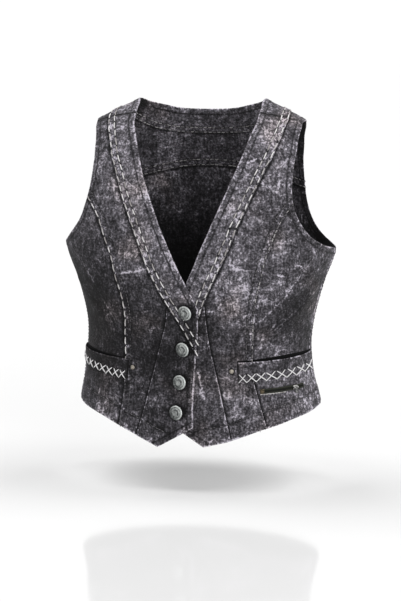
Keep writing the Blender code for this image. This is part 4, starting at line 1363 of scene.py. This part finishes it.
def thread_arc(bench, given, start, end, steps):
    """A length of thread over the cloth from one point to another, both just under its surface."""
    middle = bench.node("ShaderNodeCombineXYZ", inputs={"Z": given("Rise")})
    arc = bench.node("GeometryNodeCurveQuadraticBezier", inputs={
        "Resolution": steps, "Start": start, "Middle": middle, "End": end})
    ring = bench.node("GeometryNodeCurvePrimitiveCircle", inputs={
        "Resolution": THREAD_SIDES, "Radius": given("Thread radius")})
    return bench.node("GeometryNodeCurveToMesh", inputs={
        "Curve": arc, "Profile Curve": ring, "Fill Caps": True})


def single_stitch(bench, given):
    """One straight stitch along the row."""
    reach = given("Length") * 0.5
    depth = given("Rise") * STITCH_DIP
    start = bench.node("ShaderNodeCombineXYZ", inputs={"X": reach * -1, "Z": depth})
    end = bench.node("ShaderNodeCombineXYZ", inputs={"X": reach, "Z": depth})
    return thread_arc(bench, given, start, end, STITCH_STEPS)


STITCHING = row_group("topstitch", ("Length", "Thread radius", "Rise"), single_stitch)
PROBE_START = 0.010
PROBE_LENGTH = 0.016
FEWEST_POINTS = 3


def laid_on(pieces, base, out, inside=False):
    """Runs of points where places on the body meet the outside, or the inside, of sewn pieces."""
    graph = bpy.context.evaluated_depsgraph_get()
    trees = [BVHTree.FromObject(VEST_PIECES[name], graph) for name in pieces]
    facing = -out if inside else out
    runs = [[]]
    for point, away in zip(base, facing):
        start = Vector(point + away * PROBE_START)
        hits = [tree.ray_cast(start, Vector(-away), PROBE_LENGTH) for tree in trees]
        hits = [hit for hit in hits if hit[0] is not None]
        if hits:
            runs[-1].append((min(hits, key=lambda hit: hit[3])[0], away))
        elif runs[-1]:
            runs.append([])
    return [run for run in runs if len(run) >= FEWEST_POINTS]


ROW_STEP = 0.0025
ROUGH_STEPS = 40
FEWEST_STEPS = 4


def stitch_row(side_name, line_name, offset, pieces, start, end, inside):
    """A row beside a seam, from one share of its line to another."""
    line = LINES[side_name][line_name]
    last = len(line) - 1
    rough = along(side_name, line, start * last, end * last, ROUGH_STEPS)
    steps = max(FEWEST_STEPS, round(run_length(rough) / ROW_STEP))
    run = along(side_name, line, start * last, end * last, steps)
    angle, drop = nearest_on_torso(run)
    _, out = cloth_points(angle, drop, side_name)
    aside = np.cross(out, np.gradient(run, axis=0))
    aside = aside / np.linalg.norm(aside, axis=-1, keepdims=True)
    angle, drop = nearest_on_torso(run + aside * (SIDES[side_name] * offset))
    base, out = cloth_points(angle, drop, side_name)
    return laid_on(pieces, base, out, inside)


def repeat_along(name, rows, group, finish, seed, spread=None, **sizes):
    """A piece of repeated small shapes along rows, made a plain mesh, riding on the vest."""
    points = []
    edges = []
    outward = []
    for row in rows:
        edges += [(len(points) + step, len(points) + step + 1) for step in range(len(row) - 1)]
        points += [tuple(point) for point, _ in row]
        outward += [tuple(away) for _, away in row]
    mesh = bpy.data.meshes.new(name)
    mesh.from_pydata(points, edges, [])
    store(mesh, "outward", "FLOAT_VECTOR", outward)
    if spread is not None:
        store(mesh, "spread", "FLOAT", spread)
    item = placed(name, mesh)
    sewing = item.modifiers.new("rows", "NODES")
    sewing.node_group = group
    values = {"Seed": seed, "Finish": finish}
    values.update({size.replace("_", " ").capitalize(): value for size, value in sizes.items()})
    for socket in group.interface.items_tree:
        if socket.in_out == "INPUT" and socket.name in values:
            sewing[socket.identifier] = values[socket.name]
    graph = bpy.context.evaluated_depsgraph_get()
    finished = bpy.data.meshes.new_from_object(item.evaluated_get(graph))
    item.modifiers.clear()
    item.data = finished
    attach(item, "vest")
    return item


DIRT_SIZE = 0.020
DIRT_SHARE = 1.6
FLUFF_SHARE = 0.5
THREAD_FADING = (0.05, 0.85)
FINE_BUMP = 0.0002


def thread(name, fresh, worn):
    """Sewing thread, faded more on some stitches than on others."""
    material, bench = new_finish(name)
    age = bench.attribute("thread_age")
    fluff = bench.cloud(bench.place(), FUZZ_SIZE, detail=2.0)
    dirt = bench.cloud(bench.place(), DIRT_SIZE)
    share = bench.between(age + dirt * DIRT_SHARE + fluff * FLUFF_SHARE, *THREAD_FADING)
    feed(material, Base_Color=bench.mixed(share, worn, fresh), Roughness=0.8, Specular_IOR_Level=0.25,
         Normal=bench.bumped(fluff, strength=0.4, distance=FINE_BUMP))
    return material


PALE_THREAD = thread("pale_thread", (0.84, 0.82, 0.82, 1), (0.38, 0.355, 0.35, 1))
INNER_THREAD = thread("inner_thread", (0.50, 0.48, 0.48, 1), (0.10, 0.096, 0.10, 1))
GREY_THREAD = thread("grey_thread", (0.22, 0.21, 0.22, 1), (0.04, 0.04, 0.045, 1))
DARK_THREAD = thread("dark_thread", (0.060, 0.058, 0.062, 1), (0.015, 0.015, 0.016, 1))
ABOVE_WELT = 0.70
BELOW_WELT = 0.77
pale_rows = []
inner_rows = []
grey_rows = []
dark_rows = []
for side_name in SIDES:
    band = [f"band_{side_name}", "band_back"]
    front = [f"front_{side_name}"]
    front_edge = [f"front_edge_{side_name}"]
    side_front = [f"side_front_{side_name}"]
    armhole = front + side_front + ["yoke", "back"]
    curved_rows = pale_rows if side_name == "right" else inner_rows
    for rows, line_name, offset, pieces, start, end, inside in (
            (pale_rows, "band", -NEAR_ROW, band, 0.0, 1.0, False),
            (inner_rows, "band", -NEAR_ROW, ["band_back"], 0.0, 1.0, True),
            (pale_rows, "band", -FAR_ROW, band, 0.0, 1.0, False),
            (inner_rows, "band", -FAR_ROW, ["band_back"], 0.0, 1.0, True),
            (curved_rows, "front_seam", -NEAR_ROW, front, 0.06, ABOVE_WELT, False),
            (grey_rows, "front_seam", -NEAR_ROW, front, BELOW_WELT, 1.0, False),
            (grey_rows, "front_seam", -FAR_ROW, front, 0.05, 0.98, False),
            (grey_rows, "hem", -HEM_ROW, front_edge + front + side_front, 0.01, 0.99, False),
            (dark_rows, "front_edge", EDGE_ROW, front_edge, 0.02, 0.97, False),
            (dark_rows, "neck", EDGE_ROW, band, 0.0, 0.98, False),
            (dark_rows, "armhole", EDGE_ROW, armhole, 0.0, 1.0, False),
            (grey_rows, "side", -NEAR_ROW, side_front, 0.0, 1.0, False),
            (grey_rows, "side", -FAR_ROW, side_front, 0.0, 1.0, False),
            (grey_rows, "back_hem", HEM_ROW, ["back"], 0.0, 1.0, False),
            (grey_rows, "yoke", -NEAR_ROW, ["yoke"], 0.0, 0.93, False),
            (inner_rows, "yoke", -NEAR_ROW, ["yoke"], 0.0, 0.93, True),
            (grey_rows, "yoke", -FAR_ROW, ["yoke"], 0.0, 0.93, False),
            (inner_rows, "yoke", -FAR_ROW, ["yoke"], 0.0, 0.93, True)):
        rows.extend(stitch_row(side_name, line_name, offset, pieces, start, end, inside))

repeat_along("pale_topstitching", pale_rows, STITCHING, PALE_THREAD, seed=3,
             pitch=0.0130, unevenness=0.4, length=0.0108, thread_radius=0.00080, rise=0.0020)
repeat_along("fine_topstitching", inner_rows, STITCHING, INNER_THREAD, seed=4,
             pitch=0.0062, unevenness=0.6, length=0.0048, thread_radius=0.00060, rise=0.0011)
repeat_along("grey_topstitching", grey_rows, STITCHING, GREY_THREAD, seed=5,
             pitch=0.0046, unevenness=0.5, length=0.0035, thread_radius=0.00034, rise=0.0007)
repeat_along("dark_topstitching", dark_rows, STITCHING, DARK_THREAD, seed=6,
             pitch=0.0046, unevenness=0.5, length=0.0035, thread_radius=0.00034, rise=0.0007)

# Cross stitches: a row of hand-sewn crosses of thick white yarn along the foot of each welt.
# Each cross is two long threads over the welt; neighbours share the holes at their feet.
CROSS_COUNT = 8
CROSS_GROWTH = 1.6
CROSS_SAMPLES = 200
CROSS_STEPS = 8
CROSS_DIP = -0.5
CROSS_ENDS = {"right": (0.03, 0.96), "left": (0.006, 0.955)}
CROSS_SHARES_UP = {"right": (0.20, 0.40), "left": (0.17, 0.17)}


def cross(bench, given):
    """Two threads that cross over the middle."""
    arms = []
    for lean in (-1, 1):
        across = given("Length") * 0.5
        upwards = given("Height") * (0.5 * lean)
        depth = given("Rise") * CROSS_DIP
        start = bench.node("ShaderNodeCombineXYZ", inputs={
            "X": across * -1, "Y": upwards * -1, "Z": depth})
        end = bench.node("ShaderNodeCombineXYZ", inputs={"X": across, "Y": upwards, "Z": depth})
        arms.append(thread_arc(bench, given, start, end, CROSS_STEPS))
    return bench.node("GeometryNodeJoinGeometry", inputs={"Geometry": arms})


CROSSES = row_group("cross_stitch", ("Length", "Height", "Thread radius", "Rise"), cross, spaced=True)
WHITE_YARN = thread("white_yarn", (0.92, 0.91, 0.92, 1), (0.80, 0.79, 0.80, 1))
cross_rows = []
cross_widths = []
for side_name in SIDES:
    fine = np.linspace(*CROSS_ENDS[side_name], CROSS_SAMPLES)
    up = np.linspace(*CROSS_SHARES_UP[side_name], CROSS_SAMPLES)
    angle, drop = welt_places(side_name, fine, up)
    base, _ = cloth_points(angle, drop, side_name)
    steps = np.linalg.norm(np.diff(base, axis=0), axis=-1)
    reached = np.concatenate([[0], np.cumsum(steps)])
    widths = np.linspace(1.0, CROSS_GROWTH, CROSS_COUNT)
    widths = widths * reached[-1] / widths.sum()
    middles = np.cumsum(widths) - widths / 2
    angle = np.interp(middles, reached, angle)
    drop = np.interp(middles, reached, drop)
    base, out = cloth_points(angle, drop, side_name)
    cross_rows += laid_on([f"welt_{side_name}"], base, out)
    cross_widths += list(widths)
repeat_along("cross_stitching", cross_rows, CROSSES, WHITE_YARN, seed=11, spread=cross_widths,
             unevenness=0.25, length=1.05, height=0.0122, thread_radius=0.00095, rise=0.0030)

# Short zip below the left welt: a dark woven tape with close metal teeth, sewn on flat.
# The slider's bridge bar carries the rolled knuckle of the pull tab, which swings on it.
ZIP_WIDTH = 0.0064
ZIP_TAPE = 0.0010
ZIP_ENDS = table("breadth drop", [
    (0.0985, 0.390),
    (0.150, 0.3875),
])
ZIP_STEPS = 60
ZIP_STEPS_ACROSS = 9
RIB_STRETCH = (1, 1, 6)
RIB_SIZE = 0.0022
RIB_SHARE = 0.022
ZIP_TONE = 0.032
ZIP_TINT = (0.97, 1.03, 0.80)


def zip_places(share):
    """Angle and drop on the left front at a share of the zip's length."""
    breadth = ZIP_ENDS["breadth"][0] * (1 - share) + ZIP_ENDS["breadth"][1] * share
    drop = ZIP_ENDS["drop"][0] * (1 - share) + ZIP_ENDS["drop"][1] * share
    return angle_of(breadth, drop), drop


def zip_weave():
    """Greenish-black tape, ribbed along its length."""
    material, bench = new_finish("zip_tape_cloth")
    rib = bench.cloud(bench.stretched(bench.place(), RIB_STRETCH), RIB_SIZE, detail=2.0)
    feed(material, Base_Color=bench.lit(ZIP_TINT, rib * RIB_SHARE + ZIP_TONE), Roughness=0.85,
         Specular_IOR_Level=0.2, Normal=bench.bumped(rib, strength=0.5, distance=FINE_BUMP))
    return material


angle, drop = zip_places(np.linspace(0, 1, ZIP_STEPS)[None])
rise = np.linspace(ZIP_WIDTH / 2, -ZIP_WIDTH / 2, ZIP_STEPS_ACROSS)[:, None]
angle = angle + 0 * rise
drop = drop + rise
lift = (CLOTH + ZIP_TAPE) / 2 + SEAM_GAP + 0 * drop
tape, middle = cloth_piece("sewn_zip_tape", angle, drop, "left", lift, ZIP_TAPE, [], zip_weave(),
                           grain_of(angle, drop))
stand_for(tape, "zip_tape")
cloth_area(middle)
VEST_PIECES["zip_tape"] = tape
TARNISH_SIZE = 0.0025
TARNISH_SHARE = 1.8
TARNISH_SHEEN = 0.3
RUBBED_SHEEN = 0.1
METAL_RUBBING = (0.05, 1.05)


def aged_metal(name, dark, light, roughness):
    """Old cast metal: dark in its hollows, rubbed pale on what stands proud."""
    material, bench = new_finish(name)
    tarnish = bench.cloud(bench.place(), TARNISH_SIZE, detail=4.0, roughness=0.7)
    share = bench.between(bench.attribute("proud") + tarnish * TARNISH_SHARE, *METAL_RUBBING)
    feed(material, Base_Color=bench.mixed(share, dark, light), Metallic=1.0,
         Roughness=roughness - tarnish * TARNISH_SHEEN - share * RUBBED_SHEEN,
         Normal=bench.bumped(tarnish, strength=0.25, distance=FINE_BUMP))
    return material


def tooth(bench, given):
    """One tooth, a small block across the zip."""
    size = bench.node("ShaderNodeCombineXYZ", inputs={
        "X": given("Length"), "Y": given("Width"), "Z": given("Rise")})
    return bench.node("GeometryNodeMeshCube", inputs={"Size": size})


ZIP_METAL = aged_metal("zip_metal", (0.10, 0.10, 0.10, 1), (0.85, 0.83, 0.81, 1), roughness=0.34)
DARK_TEETH = aged_metal("zip_teeth_metal", (0.012, 0.013, 0.012, 1), (0.07, 0.075, 0.07, 1), roughness=0.5)
TEETH = row_group("zip_teeth", ("Length", "Width", "Rise"), tooth)
TEETH_SHIFT = 0.0007
TEETH_ENDS = (0.03, 0.97)
ZIP_FRONTS = ["side_front_left", "front_left"]


def zip_row(pieces, ends, steps, shift):
    """A run of points between two shares of the zip's length, moved down and laid on sewn pieces."""
    angle, drop = zip_places(np.linspace(*ends, steps))
    base, out = cloth_points(angle, drop + shift, "left")
    return laid_on(pieces, base, out)


teeth_rows = []
for shift in (-TEETH_SHIFT, TEETH_SHIFT):
    teeth_rows += zip_row(["zip_tape"], TEETH_ENDS, ZIP_STEPS, shift)
teeth = repeat_along("zip_teeth", teeth_rows, TEETH, DARK_TEETH, seed=2,
                     pitch=0.0013, unevenness=0.0, length=0.0008, width=0.0012, rise=0.0009)

ZIP_THREAD = thread("zip_thread", (0.80, 0.78, 0.76, 1), (0.40, 0.38, 0.37, 1))
ZIP_STITCH_ENDS = (0.0, 0.56)
ZIP_STITCH_STEPS = 30
ZIP_STITCH_GAP = 0.0009
zip_rows = zip_row(ZIP_FRONTS, ZIP_STITCH_ENDS, ZIP_STITCH_STEPS, ZIP_WIDTH / 2 + ZIP_STITCH_GAP)
repeat_along("zip_topstitching", zip_rows, STITCHING, ZIP_THREAD, seed=8,
             pitch=0.0040, unevenness=0.5, length=0.0038, thread_radius=0.00055, rise=0.0012)

BARTACK_THREAD = thread("bartack_thread", (0.20, 0.16, 0.10, 1), (0.08, 0.065, 0.045, 1))
BARTACK_ENDS = (-0.02, 0.045)
BARTACK_STEPS = 8
BARTACK_HALF = 0.0026
BARTACK_ROWS = 7
bartack_rows = []
for shift in np.linspace(-BARTACK_HALF, BARTACK_HALF, BARTACK_ROWS):
    bartack_rows += zip_row(ZIP_FRONTS + ["zip_tape"], BARTACK_ENDS, BARTACK_STEPS, shift)
repeat_along("zip_bartack", bartack_rows, STITCHING, BARTACK_THREAD, seed=9,
             pitch=0.0020, unevenness=0.3, length=0.0030, thread_radius=0.00040, rise=0.0008)

SOFT_CORNER = 0.00022
SAME_POINT = 1e-6
FLAT_TURN = 0.02
SHARP_TURN = 0.6
for node_name, body_name, rubbed in (("zip_slider", "vest", 0.55), ("zip_pull_tab", "pull_tab", 0.15)):
    form = bmesh.new()
    form.from_mesh(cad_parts[node_name].data)
    bmesh.ops.remove_doubles(form, verts=form.verts, dist=SAME_POINT)
    bmesh.ops.dissolve_limit(form, angle_limit=FLAT_TURN, verts=form.verts, edges=form.edges)
    sharp = [edge for edge in form.edges if edge.calc_face_angle(0) > SHARP_TURN]
    bmesh.ops.bevel(form, geom=sharp, offset=SOFT_CORNER, segments=2, profile=0.5, affect="EDGES")
    mesh = bpy.data.meshes.new(f"cast_{node_name}")
    form.to_mesh(mesh)
    form.free()
    mesh.materials.append(ZIP_METAL)
    store(mesh, "proud", "FLOAT", np.full(len(mesh.vertices), rubbed))
    stand_for(placed(mesh.name, mesh), node_name, body_name)

# Buttons: four cast metal tack buttons on the right front edge, each leaning on its shank.
# The face is plain rings: a raised rim with a painted highlight on one side, a worn ring and a domed
# middle.
BUTTONS = table("breadth drop", [
    (0.000, 0.278),
    (0.005, 0.331),
    (0.009, 0.378),
    (0.013, 0.4195),
])
BUTTON_LEAN = 20
SHANK_RADIUS = 0.0022
BUTTON_SIDES = 96
HIGHLIGHT_TURN = math.radians(35)
BUTTON_PROFILE = table("radius height proud rubbed", [
    (0.0000, 0.0000, 0.20, 0.0),
    (0.0022, 0.0000, 0.20, 0.0),
    (0.0022, 0.0034, 0.20, 0.0),
    (0.0060, 0.0035, 0.20, 0.0),
    (0.0094, 0.0036, 0.25, 0.0),
    (0.0100, 0.0040, 0.40, 0.2),
    (0.0102, 0.0045, 0.55, 0.4),
    (0.0101, 0.0051, 0.65, 0.5),
    (0.0096, 0.0056, 0.75, 0.6),
    (0.0089, 0.0058, 0.65, 0.6),
    (0.0082, 0.0056, 0.50, 0.3),
    (0.0076, 0.0052, 0.30, 0.1),
    (0.0068, 0.0052, 0.38, 0.2),
    (0.0060, 0.0055, 0.55, 0.3),
    (0.0050, 0.0056, 0.48, 0.1),
    (0.0042, 0.0053, 0.34, -0.2),
    (0.0034, 0.0051, 0.36, -0.2),
    (0.0020, 0.0053, 0.48, -0.1),
    (0.0000, 0.0054, 0.50, 0.0),
])


def seat(angle, drop, side_name, lift):
    """A frame on the cloth: x round the body and z outwards."""
    points, out = cloth_points(np.array([angle]), np.array([drop]), side_name, lift)
    outwards = Vector(out[0])
    upwards = outwards.cross(Vector((0, 0, 1)).cross(outwards)).normalized()
    place = Matrix((upwards.cross(outwards), upwards, outwards)).transposed().to_4x4()
    place.translation = Vector(points[0])
    return place


def turned_piece(node_name, profile, place, sides, material):
    """A metal piece turned from a profile, closed at both ends of its axis, in a solid's place."""
    turn = np.arange(sides) * 2 * math.pi / sides
    rubbed = profile.get("rubbed", np.zeros(len(profile["radius"])))
    points = [(0, 0, profile["height"][0])]
    proud = [profile["proud"][0]]
    for row in range(1, len(profile["radius"]) - 1):
        radius = profile["radius"][row]
        height = np.full(sides, profile["height"][row])
        points += list(zip(radius * np.cos(turn), radius * np.sin(turn), height))
        # Painted highlight on one side of the rim, and painted shade on that side of the middle
        proud += list(profile["proud"][row] + rubbed[row] * np.cos(turn - HIGHLIGHT_TURN))
    points.append((0, 0, profile["height"][-1]))
    proud.append(profile["proud"][-1])
    rings = len(profile["radius"]) - 2
    faces = []
    for step in range(sides):
        ahead = (step + 1) % sides
        faces.append((0, 1 + ahead, 1 + step))
        for ring in range(rings - 1):
            low = 1 + ring * sides
            faces.append((low + step, low + ahead, low + sides + ahead, low + sides + step))
        top = 1 + (rings - 1) * sides
        faces.append((top + step, top + ahead, len(points) - 1))
    points = [tuple(place @ Vector(point)) for point in points]
    item = new_piece(f"cast_{node_name}", points, faces, material)
    store(item.data, "proud", "FLOAT", proud)
    stand_for(item, node_name)


BUTTON_METAL = aged_metal("button_metal", (0.055, 0.059, 0.058, 1), (0.47, 0.49, 0.48, 1), roughness=0.42)
lean = math.radians(BUTTON_LEAN)
lift = DOUBLED_CLOTH / 2 + SEAM_GAP + SHANK_RADIUS * math.sin(lean)
for number, (breadth, drop) in enumerate(zip(BUTTONS["breadth"], BUTTONS["drop"]), start=1):
    place = seat(SIDES["right"] * angle_of(breadth, drop), drop, "right", lift)
    leaning = place @ Matrix.Rotation(-lean, 4, "Y")
    turned_piece(f"button_{number}", BUTTON_PROFILE, leaning, BUTTON_SIDES, BUTTON_METAL)

# Rivets: a small domed rivet of brownish metal at the inner end of each welt.
# It is hammered through the front and holds the corner of the pocket.
RIVETS = {"right": (0.078, 0.3625), "left": (0.059, 0.362)}
RIVET_SIDES = 48
RIVET_PROFILE = table("radius height proud", [
    (0.0000, 0.0000, 0.0),
    (0.0030, 0.0000, 0.4),
    (0.0030, 0.0004, 0.8),
    (0.0028, 0.0007, 1.0),
    (0.0023, 0.0009, 0.7),
    (0.0018, 0.0009, 0.4),
    (0.0014, 0.0012, 0.8),
    (0.0007, 0.0013, 1.0),
    (0.0000, 0.0013, 1.0),
])
RIVET_METAL = aged_metal("rivet_metal", (0.10, 0.09, 0.075, 1), (0.36, 0.33, 0.285, 1), roughness=0.5)
for side_name, (breadth, drop) in RIVETS.items():
    place = seat(SIDES[side_name] * angle_of(breadth, drop), drop, side_name, CLOTH / 2 + SEAM_GAP)
    turned_piece(f"rivet_{side_name}", RIVET_PROFILE, place, RIVET_SIDES, RIVET_METAL)

# Studio: a pale, faintly glossy floor below the floating vest, and soft white light all round.
# The camera stands where the photograph was taken from, a little to the vest's left and above.
FLOOR_Z = -0.517
FLOOR_RADIUS = 40.0
FLOOR_SIDES = 96
FLOOR_PATCHES = 0.5
FLOOR_TONE = 0.9
FLOOR_TONE_CHANGE = 0.01
FLOOR_ROUGHNESS = 0.09
FLOOR_ROUGHNESS_CHANGE = 0.03


def floor_finish():
    """Smooth pale floor with a faint sheen."""
    material, bench = new_finish("pale_floor")
    cast = bench.cloud(bench.place(), FLOOR_PATCHES, detail=2.0)
    feed(material, Base_Color=bench.lit((1, 1, 1), cast * FLOOR_TONE_CHANGE + FLOOR_TONE),
         Roughness=cast * FLOOR_ROUGHNESS_CHANGE + FLOOR_ROUGHNESS, IOR=1.5)
    return material


floor_points = []
for turn in np.arange(FLOOR_SIDES) * 2 * math.pi / FLOOR_SIDES:
    floor_points.append((FLOOR_RADIUS * math.cos(turn), FLOOR_RADIUS * math.sin(turn), FLOOR_Z))
floor = new_piece("floor", floor_points, [list(range(FLOOR_SIDES))], floor_finish())

LAMPS = {
    "overhead_softbox_left": dict(direction=(-0.52, 0.14, 1.0), strength=1.40, spread=38),
    "overhead_softbox_right": dict(direction=(0.54, 0.14, 1.0), strength=1.40, spread=38),
    "front_softbox": dict(direction=(0.85, -1.0, 0.35), strength=1.2, spread=50),
}
for name, lamp in LAMPS.items():
    light = bpy.data.lights.new(name, "SUN")
    light.energy = lamp["strength"]
    light.angle = math.radians(lamp["spread"])
    placed(name, light).rotation_euler = Vector(lamp["direction"]).to_track_quat("Z", "Y").to_euler()

ROOM_LIGHT = 0.27
world = bpy.data.worlds.new("studio")
world.use_nodes = True
sky = Bench(world.node_tree)
backdrop = world.node_tree.nodes["Background"]
seen = sky.node("ShaderNodeLightPath", output="Is Camera Ray")
mirrored = sky.node("ShaderNodeLightPath", output="Is Glossy Ray")
seen = seen.math("MAXIMUM", seen, mirrored)
connect(world.node_tree, backdrop.inputs["Strength"], seen * (1 - ROOM_LIGHT) + ROOM_LIGHT)
backdrop.inputs["Color"].default_value = (1, 1, 1, 1)
bpy.context.scene.world = world
bpy.context.scene.view_settings.view_transform = "Standard"

VIEW_AZIMUTH = math.radians(10.59)
VIEW_ELEVATION = math.radians(5.66)
VIEW_DISTANCE = 3.0
VIEW_LENS = 130.74
VIEW_SENSOR = 36.0
AIM_BELOW_SHOULDERS = 0.2783
back_way = Vector((math.sin(VIEW_AZIMUTH) * math.cos(VIEW_ELEVATION),
                   -math.cos(VIEW_AZIMUTH) * math.cos(VIEW_ELEVATION), math.sin(VIEW_ELEVATION)))
right_way = Vector((math.cos(VIEW_AZIMUTH), math.sin(VIEW_AZIMUTH), 0))
up_way = back_way.cross(right_way)
shoulders = Vector((0, 0, ORIGIN_DROP))
camera_data = bpy.data.cameras.new("camera")
camera_data.lens = VIEW_LENS
camera_data.sensor_width = VIEW_SENSOR
camera = placed("camera", camera_data)
camera.location = shoulders + VIEW_DISTANCE * back_way
aim = shoulders - AIM_BELOW_SHOULDERS * up_way
camera.rotation_euler = (aim - camera.location).to_track_quat("-Z", "Y").to_euler()
bpy.context.scene.camera = camera
